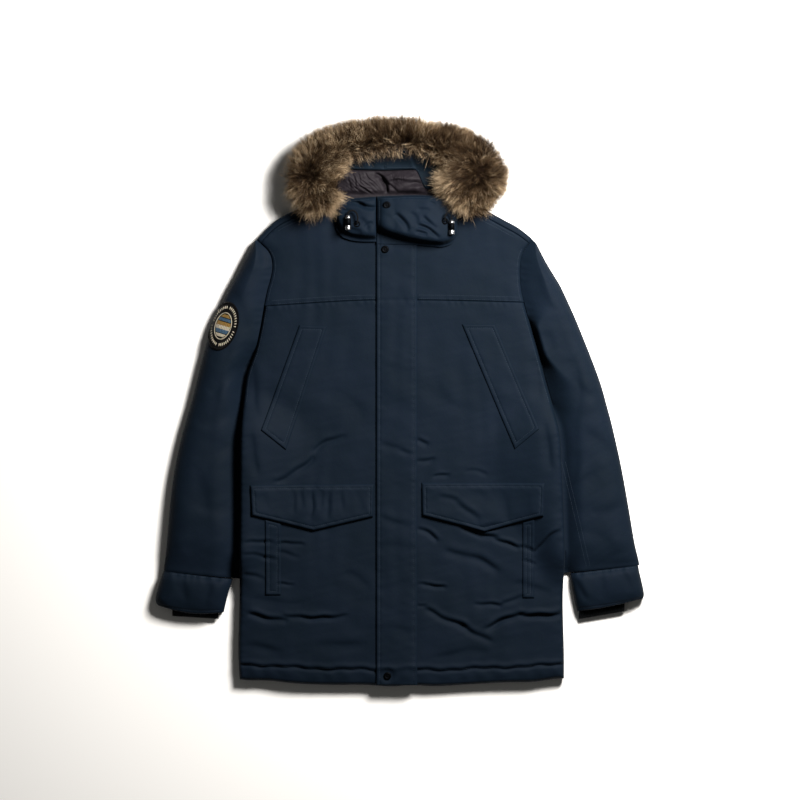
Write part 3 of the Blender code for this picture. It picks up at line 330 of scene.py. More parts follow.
# Creases of the two fronts, a row for each: its ends, how far it bows, depth, half width, ridge
BODY_CREASES = (
    # x0,  y0,   x1,   y1, bow, depth, half, ridge
    (-264, -370, -196, -383, -2, 4.6, 4.5, 0.7), (-204, -374, -94, -374, -4, 4.4, 4.0, 0.7),
    (-258, -345, -168, -352, -3, 1.6, 9, 0.3),
    (-270, -247, -222, -247, 2, 3.0, 3.5, 0.6), (-214, -249, -168, -251, 2, 3.2, 3.2, 0.6),
    (-272, -266, -216, -277, 2, 2.6, 3.5, 0.6), (-214, -262, -176, -272, 0, 1.6, 4, 0.5),
    (-272, -300, -236, -310, 0, 2.0, 4, 0.5), (-214, -318, -186, -320, 0, 2.6, 2.6, 0.6),
    (-217, -142, -150, -98, -4, 3.8, 5, 0.6), (-152, -88, -96, -62, 4, 3.0, 5, 0.6),
    (-262, -60, -250, -130, 3, 2.2, 9, 0.3), (-258, 60, -246, -30, -4, 2.0, 10, 0.4),
    (-120, 20, -66, -36, 6, 1.0, 14, 0.4), (-100, -300, -52, -330, 4, 1.4, 10, 0.4),
    (-150, -430, -60, -424, 3, 1.5, 9, 0.4), (-270, -428, -205, -436, 2, 1.6, 8, 0.4),
    (148, -396, 214, -370, 3, 5.0, 4.5, 0.7), (204, -372, 282, -370, -3, 5.6, 4.5, 0.7),
    (44, -362, 112, -392, -3, 4.2, 4.5, 0.6), (102, -388, 156, -418, -2, 3.8, 5, 0.6),
    (38, -321, 78, -325, 1, 3.4, 3.2, 0.6), (128, -354, 174, -356, 1, 3.0, 3.4, 0.6),
    (170, -358, 214, -340, 2, 1.6, 4, 0.5), (78, -262, 172, -296, 5, 3.4, 7, 0.5),
    (106, -221, 168, -238, -3, 4.4, 4.0, 0.7), (160, -240, 206, -256, 0, 3.8, 3.6, 0.7),
    (206, -252, 232, -262, 0, 2.8, 3.2, 0.5), (234, -264, 276, -224, 4, 4.2, 4, 0.6),
    (212, -277, 232, -284, 0, 2.8, 2.6, 0.5), (30, -222, 64, -243, 2, 4.2, 4, 0.6),
    (27, -69, 48, -76, 0, 2.6, 4, 0.5), (27, -107, 58, -102, 0, 2.2, 4, 0.5),
    (56, -132, 84, -129, 0, 2.6, 3.0, 0.5), (112, -122, 150, -128, 2, 1.6, 4, 0.4),
    (34, -150, 60, -100, 5, 1.2, 8, 0.4), (250, -40, 262, -120, -3, 2.4, 8, 0.4),
    (228, 70, 240, 0, 4, 2.0, 10, 0.4), (60, 40, 100, -20, -6, 1.0, 14, 0.4),
    (196, -320, 262, -336, 4, 1.8, 9, 0.4), (60, -446, 150, -436, 3, 1.4, 9, 0.4),
    (30, -318, 44, -318, 0, 1.6, 2.6, 0.5), (28, -356, 44, -356, 0, 1.6, 2.6, 0.5),
)
# Creases of the hidden back, of the same kind
BACK_CREASES = (
    # x0,  y0,   x1,   y1, bow, depth, half, ridge
    (-230, -382, -60, -376, 5, 3.0, 9, 0), (40, -398, 210, -380, -6, 3.0, 9, 0),
    (-215, -130, -120, -70, 5, 2.4, 11, 0), (110, -84, 210, -142, 6, 2.4, 11, 0),
    (-60, 240, 50, 236, 8, 2.0, 12, 0), (-170, 120, -90, 60, 6, 1.8, 12, 0),
    (90, 60, 170, 116, -6, 1.8, 12, 0), (-30, -200, 60, -236, 8, 2.0, 13, 0),
    (-180, -290, -70, -262, 6, 1.8, 12, 0), (100, -300, 190, -286, -5, 2.0, 12, 0),
)


def ease(share):
    """0 below 0, 1 above 1, and an S curve between."""
    share = np.clip(share, 0, 1)
    return share * share * (3 - 2 * share)


def between(low, high, share):
    """A share of the way from low to high."""
    return low + (high - low) * share


def rounded(share):
    """A quarter circle from 0 at 0 up to 1 at 1, and 1 beyond."""
    return np.sqrt(1 - (1 - np.clip(share, 0, 1)) ** 2)


def bell(away, half):
    """A Gaussian bell: 1 at 0, and close to 0 beyond twice its half width."""
    return np.exp(-(away / half) ** 2)


def creases(table, x, y):
    """Height of all creases: each is a bowed, wavering line with a trough along it, steep on the side
    of the ridge beside it and gentle on the other, and both fading out towards its ends."""
    height = np.zeros(np.shape(x))
    for x0, y0, x1, y1, bow, depth, half, ridge in table:
        length = math.hypot(x1 - x0, y1 - y0)
        along = ((x - x0) * (x1 - x0) + (y - y0) * (y1 - y0)) / length ** 2
        aside = ((y - y0) * (x1 - x0) - (x - x0) * (y1 - y0)) / length
        aside = aside - bow * 4 * np.clip(along, 0, 1) * (1 - np.clip(along, 0, 1))
        aside = aside - 0.22 * half * np.sin(along * length / (1.6 * half) + x0)
        beyond = np.maximum(np.maximum(-along, along - 1), 0) * length
        fade = np.sqrt(np.clip(4.2 * along * (1 - along), 0, 1)) * 0.8 + 0.2
        fade = fade * bell(beyond, half) * (1 + 0.22 * np.sin(along * length / 13 + y0))
        height -= depth * fade * bell(aside, np.where(aside > 0, 0.62, 1.25) * half)
        height += 0.6 * depth * ridge * fade * bell(aside - 1.5 * half, half)
    return height


def swell(x, y, size, height, turn=0.0):
    """Slow uneven swelling of the wadding: three sums of sines at unlike angles and lengths."""
    p = (x * math.cos(turn) + y * math.sin(turn)) / size
    q = (y * math.cos(turn) - x * math.sin(turn)) / size
    return height * (np.sin(p * 5.1 + 1.7 * np.sin(q * 3.3 + 0.4)) * 0.5
                     + np.sin(q * 6.7 - 1.3 * np.sin(p * 4.1 + 2.0)) * 0.35
                     + np.sin((p + q) * 9.9 + 2.2 * np.sin(q * 5.3)) * 0.2)


def pucker(along, away, height, reach):
    """Small gathers across a sewn line: an uneven ripple along it that dies away from it."""
    ripple = np.sin(along / 2.3 + 1.9 * np.sin(along / 11.7)) + 0.6 * np.sin(along / 3.7 + 2)
    return height * ripple * bell(away, reach)


def side_x(side, y):
    """The body's side or armhole edge."""
    return read(SIDE, y, 1 if side == RIGHT else 2)


def lift(x, y):
    """How high the tucked sleeves hold the body, as a soft slope up to each side."""
    height = np.zeros(np.shape(x))
    for side in (RIGHT, LEFT):
        down = read(TUCKED[side], y) - side * TUCK_MARGIN
        height = np.maximum(height, ease((x - down) / (side_x(side, y) - down)))
    return LIFT * ease((30 - y) / 90) * ease((y + 330) / 70) * height


def top_y(x):
    """The top edge over the shoulders and the neck."""
    return read(TOP, x)


def hem_y(x, nominal=HEM_Y):
    """A row's height on the body: bowed down at the hem, tilted at the yoke seam."""
    bow = HEM_SAG * (1 - ease((nominal - HEM_Y) / 110)) * (1 - (x / 282) ** 2)
    tilt = ease((nominal - 40) / 128) * (read(YOKE_SEAM, x) - 168)
    wave = 1.1 * np.sin(x / 19 + 1.3 * np.sin(x / 43)) * (1 - ease((nominal - HEM_Y) / 40))
    return nominal - bow + tilt + wave


def edge_distance(x, y):
    """About how far a point is inside the body's outline, from its sides, hem and shoulders."""
    aside = np.minimum(x - side_x(RIGHT, y), side_x(LEFT, y) - x)
    return np.maximum(np.minimum(np.minimum(aside, y - hem_y(x)), 0.9 * (top_y(x) - y)), 0)


def body_top(x, y, creased=True, grooved=True):
    """The fronts' outer face: lift + back + a wall that fills out from 8 to 14 mm away from its sewn
    edges, less a dip at each seam, plus creases, swelling and puckers. Over the stitched hem it bulges,
    then drops steeply to the row of stitches."""
    away = edge_distance(x, y)
    seam = np.minimum(np.abs(y - read(YOKE_SEAM, x)), np.abs(y - top_y(x) + ROLL))
    z = lift(x, y) + BACK + GAP + SEWN + (FRONT - SEWN) * rounded(away / PUFF)
    z = z - 0.7 * bell(seam, 2.4) * ease(away / 12)
    over = y - hem_y(x, HEM_SEAM) - 1.2 * np.sin(x / 17) - 0.8 * np.sin(x / 6.1)
    if grooved:
        groove = bell(over, np.where(over > 0, 1.7, 3.2))
        z = z - 3.4 * groove * ease((x - side_x(RIGHT, y)) / 9)
    z = z + 1.8 * bell(over - 5.5, 4.5) + 0.7 * np.sin(x / 5.3 + np.sin(x / 19)) * bell(over + 9, 8)
    fine = np.sin(x / 5.7 + 1.6 * np.sin(x / 23) + 0.9 * np.sin(y / 47))
    z = z + 0.28 * fine * (0.5 + 0.5 * np.sin(y / 61 + x / 83))
    z = z + swell(x, y, 150, 1.1) + swell(x, y, 46, 0.35, 0.7)
    z = z + pucker(x + 0.3 * y, seam, 0.35, 7) + pucker(y, away, 0.3, 9)
    return z + creases(BODY_CREASES, x, y) if creased else z


def shares(length, step, fine=(0, 0.5, 1.3, 2.5, 4.2, 6.5)):
    """Places along a line from 0 to 1: even steps, and close together at both ends."""
    fine = np.array(fine)
    count = max(int((length - 2 * fine[-1]) / step), 3)
    middle = np.linspace(fine[-1], length - fine[-1], count)[1:-1]
    return np.concatenate([fine, middle, length - fine[::-1]]) / length


def turned_down(z, low, away, radius, fall=999):
    """Rounds a face's rim down towards its wall's lower edge, by at most fall."""
    return z - np.minimum(0.88 * (z - low), fall) * (1 - rounded(away / radius))


# Polyester microfibre: a close plain weave of fine crimped yarn, dyed navy and brushed, so it is
# matt, with a faint bloom at grazing light. The threads are 0.25 mm apart, and are drawn twice as
# coarse, so that their grain shows.
navy, add, shader = new_material("navy_polyester_microfibre")
cut = add("UVMap", {"uv_map": "cut"})
warp, weft = (add("TexWave", {"Scale": WAVE / 0.0010, "bands_direction": way, "Vector": cut}, "Fac")
              for way in "XY")
threads = add("Math", {"operation": "MULTIPLY", 0: warp, 1: weft})
slub = add("TexNoise", {"Scale": 420.0, "Detail": 3.0, "Roughness": 0.65, "Vector": cut})
dye = add("TexNoise", {"Scale": 9.0, "Detail": 4.0, "Roughness": 0.6, "Vector": cut})
dyed = add("ValToRGB", {"Fac": dye, "stops": ((0.3, "#050e17"), (0.72, "#08111c"))})
fleck = add("Mix", {"data_type": "RGBA", "blend_type": "MULTIPLY", 0: 0.55, 6: dyed,
                    7: slub.node.outputs["Color"]}, 2)
gain = add("Mix", {"data_type": "RGBA", "blend_type": "ADD", 0: 0.4, 6: fleck, 7: dyed}, 2)
crimp = add("TexNoise", {"Scale": 95.0, "Detail": 5.0, "Roughness": 0.62, "Vector": cut})
relief = add("Math", {"operation": "MULTIPLY_ADD", 0: threads, 1: 0.2, 2: slub})
weave = add("Bump", {"Strength": 0.2, "Distance": 0.0002, "Height": relief})
bump = add("Bump", {"Strength": 0.4, "Distance": 0.0009, "Height": crimp, "Normal": weave})
add(shader, {"Base Color": gain, "Roughness": 0.72, "Specular IOR Level": 0.06, "Sheen Weight": 0.02,
             "Sheen Roughness": 0.45, "Sheen Tint": "#9fb4cc", "Normal": bump})


def padded_wall(node, x, y, upper, lower, step, material=navy, kind="cloth"):
    """A closed wall of padded cloth between two heights over a plan grid that runs along X, then along
    Y. The lower face keeps every step-th row and column, and each of its rim edges meets the upper rim
    in one flat face."""
    x, y, upper, lower = np.broadcast_arrays(x, y, upper, lower)
    rows, columns = x.shape
    index = np.arange(rows * columns).reshape(rows, columns)
    kept_rows = np.unique(np.append(np.arange(0, rows, step), rows - 1))
    kept_columns = np.unique(np.append(np.arange(0, columns, step), columns - 1))
    tall, wide = len(kept_rows), len(kept_columns)
    below = rows * columns + np.arange(tall * wide).reshape(tall, wide)
    faces = [*quads(rows, columns, wrap=(0, 0)), *(below[0, 0] + quads(tall, wide, True, (0, 0)))]
    for at, (a, b) in enumerate(zip(kept_columns, kept_columns[1:])):
        faces.append([*below[0, at:at + 2], *index[0, a:b + 1][::-1]])
        faces.append([*below[-1, at:at + 2][::-1], *index[-1, a:b + 1]])
    for at, (a, b) in enumerate(zip(kept_rows, kept_rows[1:])):
        faces.append([*below[at:at + 2, 0][::-1], *index[a:b + 1, 0]])
        faces.append([*below[at:at + 2, -1], *index[a:b + 1, -1][::-1]])
    kept = np.stack([x, y, lower], -1)[kept_rows][:, kept_columns].reshape(-1, 3)
    points = np.vstack([np.stack([x, y, upper], -1).reshape(-1, 3), kept])
    piece = make_piece(f"{node}_{kind}", points, faces, material, points[:, :2] * MM)
    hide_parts(node)
    return piece


# Fronts: u runs from -X to +X between the side and the centre, v from the hem to the yoke seam
FRONT_WIDE, FRONT_LONG = 272, 652
fronts = {}
for side, label in SIDES:
    centre = CENTRE + side * GAP / 2
    u, v = np.meshgrid(shares(FRONT_WIDE, 2.2), shares(FRONT_LONG, 2.1))
    nominal = HEM_Y + FRONT_LONG * v
    low, high = (side_x(side, nominal), centre + 0 * nominal)[::-side]
    x = between(low, high, u)
    y = hem_y(x, nominal)
    interface = lift(x, y) + BACK + GAP
    to_side = (u if side == RIGHT else 1 - u) * (high - low)
    z = turned_down(body_top(x, y), interface, np.minimum(to_side, v * FRONT_LONG), 5.5)
    z = turned_down(z, interface, high - low - to_side, 1.6)
    z = turned_down(z, interface, (1 - v) * FRONT_LONG, 1.8, 1.3)
    fronts[side] = padded_wall(f"front_{label}", x, y, z, interface, 9)

# Yokes: v runs from the yoke seam to the shoulder seam, u between the armhole and the neckline
YOKE_WIDE, YOKE_LONG = 228, 158
u, v = shares(YOKE_WIDE, 3.0)[None, :], shares(YOKE_LONG, 3.0)[:, None]
yokes = {}


def yoke_y(x):
    """A share of the way from the yoke seam up to the shoulder seam."""
    return between(read(YOKE_SEAM, x) + GAP, top_y(x) - ROLL - GAP, v)


for side, label in SIDES:
    centre = CENTRE + side * GAP / 2
    outer, inner = np.full(v.shape, side * 220.0), np.full(v.shape, centre)
    for _ in range(14):
        outer = (outer + side_x(side, yoke_y(outer))) / 2
        neck = read(NECKLINE, yoke_y(inner), 1 if side == RIGHT else 2)
        inner = np.where(yoke_y(inner) > 258, (inner + neck) / 2, centre)
    low, high = (outer, inner)[::-side]
    x = between(low, high, u)
    y = yoke_y(x)
    interface = lift(x, y) + BACK + GAP
    to_arm = (u if side == RIGHT else 1 - u) * (high - low)
    z = turned_down(body_top(x, y), interface, to_arm, 3.0, 1.8)
    z = turned_down(z, interface, high - low - to_arm, 1.6)
    z = turned_down(z, interface, np.minimum(v, 1 - v) * YOKE_LONG, 1.8, 1.3)
    yokes[side] = padded_wall(f"yoke_{label}", x, y, z, interface, 6)

# Back: the whole body's outline. Its upper face is the lining side up to the shoulder seam, and from
# there the strip that rolls over to the front
ROLL_ROWS = (0.9835, 0.9845, 0.9865, 0.9895, 0.993, 0.996, 0.998, 0.9993, 1.0)
BACK_WIDE, BACK_LONG = 560, 836
u, v = shares(BACK_WIDE, 6.0)[None, :], np.append(shares(BACK_LONG, 6.0)[:-6], ROLL_ROWS)
v = np.unique(v)[:, None]


def back_y(x):
    """A share of the way from the hem up to the top edge."""
    return between(hem_y(x), top_y(x), v)


low, high = np.full(v.shape, -250.0), np.full(v.shape, 230.0)
for _ in range(14):
    low, high = (low + side_x(RIGHT, back_y(low))) / 2, (high + side_x(LEFT, back_y(high))) / 2
x = between(low, high, u)
y = back_y(x)
away = np.minimum(edge_distance(x, y), np.minimum(x - low, high - x))
raised = lift(x, y)
under = raised + 6.0 * (1 - rounded(away / 20)) - creases(BACK_CREASES, x, y) * ease(away / 40)
under = np.maximum(under, raised)
seam_y = top_y(x) - ROLL
rolled = turned_down(body_top(x, y), raised + BACK, np.maximum(y - seam_y, 0), 1.8, 1.3)
rolled = turned_down(rolled, raised + BACK, 1.1 * (top_y(x) - y), 3.0)
over = np.maximum(np.where(y > seam_y, rolled, raised + BACK), under + 1.0)
padded_wall("back_panel", x, y, over, under, 1)

# Polyester sewing thread: two plies twisted together, a shade lighter than the cloth. The twist is
# 0.7 mm long, drawn as a fine ripple.
thread, add, shader = new_material("navy_polyester_thread")
ply = add("TexWave", {"Scale": 900.0, "bands_direction": "DIAGONAL",
                      "Vector": add("TexCoord", {}, "Object")}, "Fac")
bump = add("Bump", {"Strength": 0.4, "Distance": 0.0002, "Height": ply})
add(shader, {"Base Color": "#1f2934", "Roughness": 0.6, "Specular IOR Level": 0.12, "Normal": bump})


def drop(piece, x, y):
    """Heights in millimetres of a piece's upper face at points in plan, by rays straight down."""
    points = [vertex.co / MM for vertex in piece.data.vertices]
    tree = BVHTree.FromPolygons(points, [polygon.vertices[:] for polygon in piece.data.polygons])
    down = Vector((0, 0, -1))
    hits = [tree.ray_cast(Vector((a, b, 400)), down)[0] for a, b in zip(np.ravel(x), np.ravel(y))]
    return np.array([np.nan if hit is None else hit.z for hit in hits]).reshape(np.shape(x))


def sew(name, piece, lines, material=thread, pitch=3.4, length=2.7, half=0.33, sunk=0.12):
    """Topstitching: a closed six-sided bead of thread for each stitch along lines, with its middle
    arched up and its ends dipping into the cloth. Plan lines are dropped on the piece."""
    ends = [], []
    for line in lines:
        line = np.asarray(line, float)
        reach = run_of(line)
        at = np.arange(pitch / 2, reach[-1], pitch)
        for spots, way in zip(ends, (-0.5, 0.5)):
            spots.append(np.stack([np.interp(at + way * length, reach, axis) for axis in line.T], -1))
    tails, heads = (np.concatenate(spots) for spots in ends)
    if tails.shape[1] == 2:
        tails, heads = (np.column_stack([spots, drop(piece, *spots.T)]) for spots in (tails, heads))
    sound = np.abs(tails[:, 2] - heads[:, 2]) < 2.5 * length
    tails, heads = tails[sound], heads[sound]
    along = unit(heads - tails)
    aside = unit(np.cross(along, [0.0, 0.0, 1.0]))
    up = np.cross(aside, along)
    thick = np.array([0.45, 0.9, 1.0, 0.9, 0.45])[:, None] * half
    arch = np.array([-0.7, -0.1, 0.45, -0.1, -0.7])[:, None] * half - sunk
    share, turn = np.array([0, 0.12, 0.5, 0.88, 1.0])[:, None, None], np.arange(6) * math.pi / 3
    ring = tails[:, None, None] + (heads - tails)[:, None, None] * share
    ring = ring + up[:, None, None] * (arch + thick * np.sin(turn))[..., None]
    ring = ring + aside[:, None, None] * (thick * np.cos(turn))[..., None]
    caps = [[5, 4, 3, 0], [3, 2, 1, 0], [24, 25, 26, 27], [24, 27, 28, 29]]
    faces = np.arange(len(tails))[:, None, None] * 30 + np.vstack([quads(5, 6), caps])[:, ::-1]
    return make_piece(name, ring.reshape(-1, 3), faces.reshape(-1, 4), material)


def offset_line(points, inside):
    """A closed outline moved in by a distance, each corner where its two moved sides meet."""
    ahead = unit(np.roll(points, -1, axis=0) - points)
    inward = np.stack([-ahead[:, 1], ahead[:, 0]], -1)
    area = np.sum(points[:, 0] * np.roll(points[:, 1], -1) - np.roll(points[:, 0], -1) * points[:, 1])
    inward = inward * np.sign(area)
    before = np.roll(inward, 1, axis=0)
    moved = points + (before + inward) / (1 + np.sum(before * inward, axis=1))[:, None] * inside
    return np.vstack([moved, moved[:1]])


def bent(line, step=3.0):
    """A plan line with extra points, so that it can follow a curved surface."""
    reach = run_of(line)
    at = np.linspace(0, reach[-1], max(int(reach[-1] / step), 2))
    return np.stack([np.interp(at, reach, axis) for axis in np.asarray(line, float).T], -1)


def points_on(*parts):
    """A line of points from its coordinates, some of which may be the same all along it."""
    return np.stack(np.broadcast_arrays(*parts), -1)


# Topstitching of the body: two rows over the yoke seam, one beside each armhole, two on the shoulder
# seam, and one along the hem's fold
for side, label in SIDES:
    x = np.linspace(side * 214 - 10, -44 if side == RIGHT else 30, 80)
    rows = [points_on(x, read(YOKE_SEAM, x) + up) for up in (2.8, 9.0)]
    y = np.linspace(172, 262, 40)
    rows.append(points_on(side_x(side, y) - side * 5.5, y))
    x = np.linspace(side * 205 - 8, side * 100 - 8, 50)
    rows += [points_on(x, top_y(x) - ROLL - down) for down in (3.0, 8.5)]
    sew(f"stitches_yoke_{label}", yokes[side], rows)
    y = np.linspace(-4, 160, 70)
    x = np.linspace(side * 268, -48 if side == RIGHT else 33, 90)
    rows = [points_on(side_x(side, y) - side * 5.5, y), points_on(x, hem_y(x, HEM_SEAM) + 1.0)]
    sew(f"stitches_front_{label}", fronts[side], rows)


# ---------------------------------------------------------------------------------------------
# Storm flap, pocket flaps and welts: double layers of the same cloth with a little wadding between,
# turned, pressed and topstitched along their edges, then sewn down on the fronts.

FLAP_FINE = (0, 0.5, 1.3, 2.5, 4.0, 5.4, 6.6, 7.8, 9.2, 11.5)
STORM_X, STORM_HEM, STORM_WIDE, STORM_LONG = (-43.3, 28.2), -494.5, 71.5, 797
STORM_THICK, EDGE_STITCH, FLAP_WIDE, FLAP_TALL = 4.0, 6.6, 213, 72
FLAP_CREASES = (
    # x0,  y0,   x1,   y1, bow, depth, half, ridge
    (-34, -74, 14, -95, 2, 1.5, 6, 0.4), (-33, -200, 19, -220, -4, 1.6, 7, 0.4),
    (-2, -86, 20, -95, 0, 1.2, 4, 0.4), (-40, -250, 24, -262, 3, 0.9, 9, 0.3),
    (-40, -330, 20, -318, 3, 0.8, 9, 0.3), (-38, 60, 20, 48, -3, 0.6, 10, 0.3),
    (-38, -398, 24, -404, 3, 0.9, 9, 0.3), (-30, 205, 22, 214, 2, 0.6, 9, 0.3),
)


def stitched(depth, away, along):
    """The channel that a row of stitches draws into padded cloth: a narrow groove with gathers."""
    away = away - EDGE_STITCH
    return depth * bell(away, 1.5) + pucker(along, away, 0.22 * depth, 4.5)


def pressed(z, x, y, snap):
    """Cloth held flat under a snap: level as far as its rim, then back to its own height."""
    low, high = node_box(snap)
    away = np.hypot(x - (low[0] + high[0]) / 2, y - (low[1] + high[1]) / 2)
    return between(low[2] - 0.4, z, ease((away - 7.5) / 9))


def on_body(name, x, y, thick, edge, extra, step, away, radius=3.0):
    """A wall laid on the fronts: its inner face on their surface, its outer face a thickness above it
    with a rounded rim, a stitched channel and its own creases."""
    under = body_top(x, np.maximum(y, hem_y(x) + 6), grooved=False) + GAP
    z = turned_down(under + edge + (thick - edge) * rounded(away / 9) + extra, under, away, radius)
    if name == "storm_flap":
        z = pressed(pressed(z, x, y, "snap_hem"), x, y, "snap_neck")
    return padded_wall(name, x, y, z, under, step)


x, y = np.meshgrid(STORM_X[0] + STORM_WIDE * shares(STORM_WIDE, 3.0, FLAP_FINE),
                   STORM_HEM + STORM_LONG * shares(STORM_LONG, 2.4, FLAP_FINE))
from_free, from_sewn = x - STORM_X[0], STORM_X[1] - x
extra = creases(FLAP_CREASES, x, y) + swell(x, y, 60, 0.35)
extra = extra - stitched(0.9, from_free, y) - stitched(0.9, from_sewn, y)
extra = extra - 1.8 * bell(from_sewn, 4.0) + 0.8 * bell(from_free - 3, 3.0) - 9 * ease((y - 270) / 30)
away = np.minimum(np.minimum(from_free, y - STORM_HEM), from_sewn * 1.5)
storm = on_body("storm_flap", x, y, STORM_THICK, 3.0, extra, 4, away, 2.6)
sew("stitches_storm_flap", storm, [
    bent([(x, 262), (x, -488)]) for x in (STORM_X[0] + EDGE_STITCH, STORM_X[1] - EDGE_STITCH + 0.8)])

POCKET_FLAPS = {
    # upper end, upper end, lower end, point, lower end, all from -X to +X
    RIGHT: ((-261, -147), (-47, -145.5), (-258, -200), (-152, -227), (-48, -202.5)),
    LEFT: ((35.5, -143), (248.5, -143.5), (36.5, -200.5), (145, -228.5), (246.5, -201)),
}
POCKET_CREASES = {
    # x0,  y0,   x1,   y1, bow, depth, half, ridge
    RIGHT: ((-188, -157, -186, -196, 2, 1.3, 4, 0.9), (-172, -155, -170, -186, -1, 1.1, 3.5, 0.9),
            (-154, -157, -156, -204, 2, 1.6, 4, 0.9), (-138, -155, -137, -190, 1, 1.2, 3.5, 0.9),
            (-122, -157, -126, -206, -2, 1.6, 4.5, 0.9), (-104, -156, -102, -190, 1, 1.0, 4, 0.8),
            (-236, -162, -228, -190, -2, 0.8, 8, 0.4), (-80, -158, -66, -192, 2, 0.8, 7, 0.4)),
    LEFT: ((67, -165, 98, -176, 1, 1.8, 4.5, 0.9), (98, -176, 136, -206, -2, 2.2, 5, 0.9),
           (137, -220, 170, -214, -1, 1.4, 4, 0.8), (170, -158, 186, -212, 3, 0.9, 9, 0.4),
           (216, -160, 226, -200, -2, 0.8, 9, 0.4), (120, -160, 150, -172, 2, 0.8, 8, 0.4)),
}


def line_distance(line, x, y):
    """Each point's distance in plan to a line of points."""
    away = np.full(np.shape(x), np.inf)
    for a, b in zip(line, line[1:]):
        run = b - a
        share = np.clip(((x - a[0]) * run[0] + (y - a[1]) * run[1]) / (run @ run), 0, 1)
        away = np.minimum(away, np.hypot(x - a[0] - share * run[0], y - a[1] - share * run[1]))
    return away


for side, label in SIDES:
    a, b, c, d, e = np.array(POCKET_FLAPS[side], float)
    outline = np.array([c, d, e, b, a])
    v = shares(FLAP_TALL, 2.6, FLAP_FINE)[:, None]
    u = np.append(shares(FLAP_WIDE, 3.0, FLAP_FINE), (d[0] - c[0]) / (e[0] - c[0]))
    u = np.unique(u)[None, :]
    low_x = between(c[0], e[0], u)
    low_y = np.interp(low_x, [c[0], d[0], e[0]], [c[1], d[1], e[1]])
    high_x, high_y = between(a[0], b[0], u), between(a[1], b[1], u)
    x, y = between(low_x, high_x, v), between(low_y, high_y, v)
    away, from_top = line_distance([*outline, c], x, y), high_y - y
    extra = creases(POCKET_CREASES[side], x, y) * ease(from_top / 14) + swell(x, y, 60, 0.5)
    extra = extra - stitched(1.0, away, x + y) - 1.5 * bell(from_top, 5)
    extra = extra + 2.4 * ease((from_top - 16) / 40)
    flap = on_body(f"pocket_flap_{label}", x, y, 5.0, 3.2, extra, 3, away, 3.4)
    sew(f"stitches_pocket_flap_{label}", flap, [bent(offset_line(outline, EDGE_STITCH))])

WELTS = {
    # lower outer, lower inner, upper inner, upper outer for the right; mirrored for the left
    "chest_welt_right": ((-242, -52), (-199, -86.5), (-128, 128), (-176, 130)),
    "chest_welt_left": ((197, -85), (239, -50), (162.5, 131.5), (105.5, 131.5)),
    "side_welt_right": ((-235, -338), (-208, -338), (-208, -214), (-235, -207)),
    "side_welt_left": ((210.5, -343), (231, -343), (231, -206.5), (210.5, -212)),
}
for name, outline in WELTS.items():
    outline = np.array(outline, float)
    a, b, c, d = outline
    wide, tall = np.linalg.norm(b - a), np.linalg.norm(d - a)
    u = shares(wide, 2.6, FLAP_FINE if wide > 30 else FLAP_FINE[:8])[None, :]
    v = shares(tall, 3.0, FLAP_FINE)[:, None]
    x, y = ((a[i] * (1 - u) + b[i] * u) * (1 - v) + (d[i] * (1 - u) + c[i] * u) * v for i in (0, 1))
    away = line_distance([*outline, a], x, y)
    welt = on_body(name, x, y, 3.0, 2.0, swell(x, y, 50, 0.3) - stitched(0.8, away, y), 3, away, 1.8)
    sew(f"stitches_{name}", welt, [bent(offset_line(outline, EDGE_STITCH))])


# ---------------------------------------------------------------------------------------------
# Sleeves: two-piece tubes of the padded cloth, pressed flat. Each is sewn into its armhole above,
# and its inner fold is tucked under the body below.

SLEEVE, SLEEVE_FOLD, SLEEVE_ROUND, SLEEVE_RISE, SLEEVE_THIN = 38.0, 14.0, 38.0, 42.0, 7.0
SLEEVE_WIDE = 130
TUCK_CLEAR, TUCK_OUT, CUFF_DIP = 4.0, 6.0, 11.0
ARMHOLE_ROWS = {
    # armhole_y, outer_x, outer_y
    RIGHT: ((279, -255, 274), (265, -262, 262), (250, -272, 243), (234, -283, 221), (216, -295, 199),
            (192, -308, 172), (168, -320, 148), (150, -327, 132), (120, -335, 106), (80, -344, 74),
            (40, -353, 38), (-4, -363, -2)),
    LEFT: ((279, 233, 270), (265, 240, 256), (250, 249, 239), (234, 261, 219), (216, 273, 199),
           (192, 286, 172), (168, 299, 143), (150, 306, 126), (120, 319, 94), (80, 333, 58),
           (40, 345, 24), (-4, 356, -16)),
}
LOWER_ROWS = {
    # outer_x, outer_y, for each point of the tucked fold
    RIGHT: ((-411.5, -296.5), (-411, -289), (-409, -276), (-406, -246), (-402, -198), (-396, -142),
            (-389, -102), (-380, -62), (-370, -26)),
    LEFT: ((411, -286.5), (410, -281), (408, -272), (402, -246), (394, -198), (385, -146),
           (377, -104), (369, -68), (362, -38)),
}
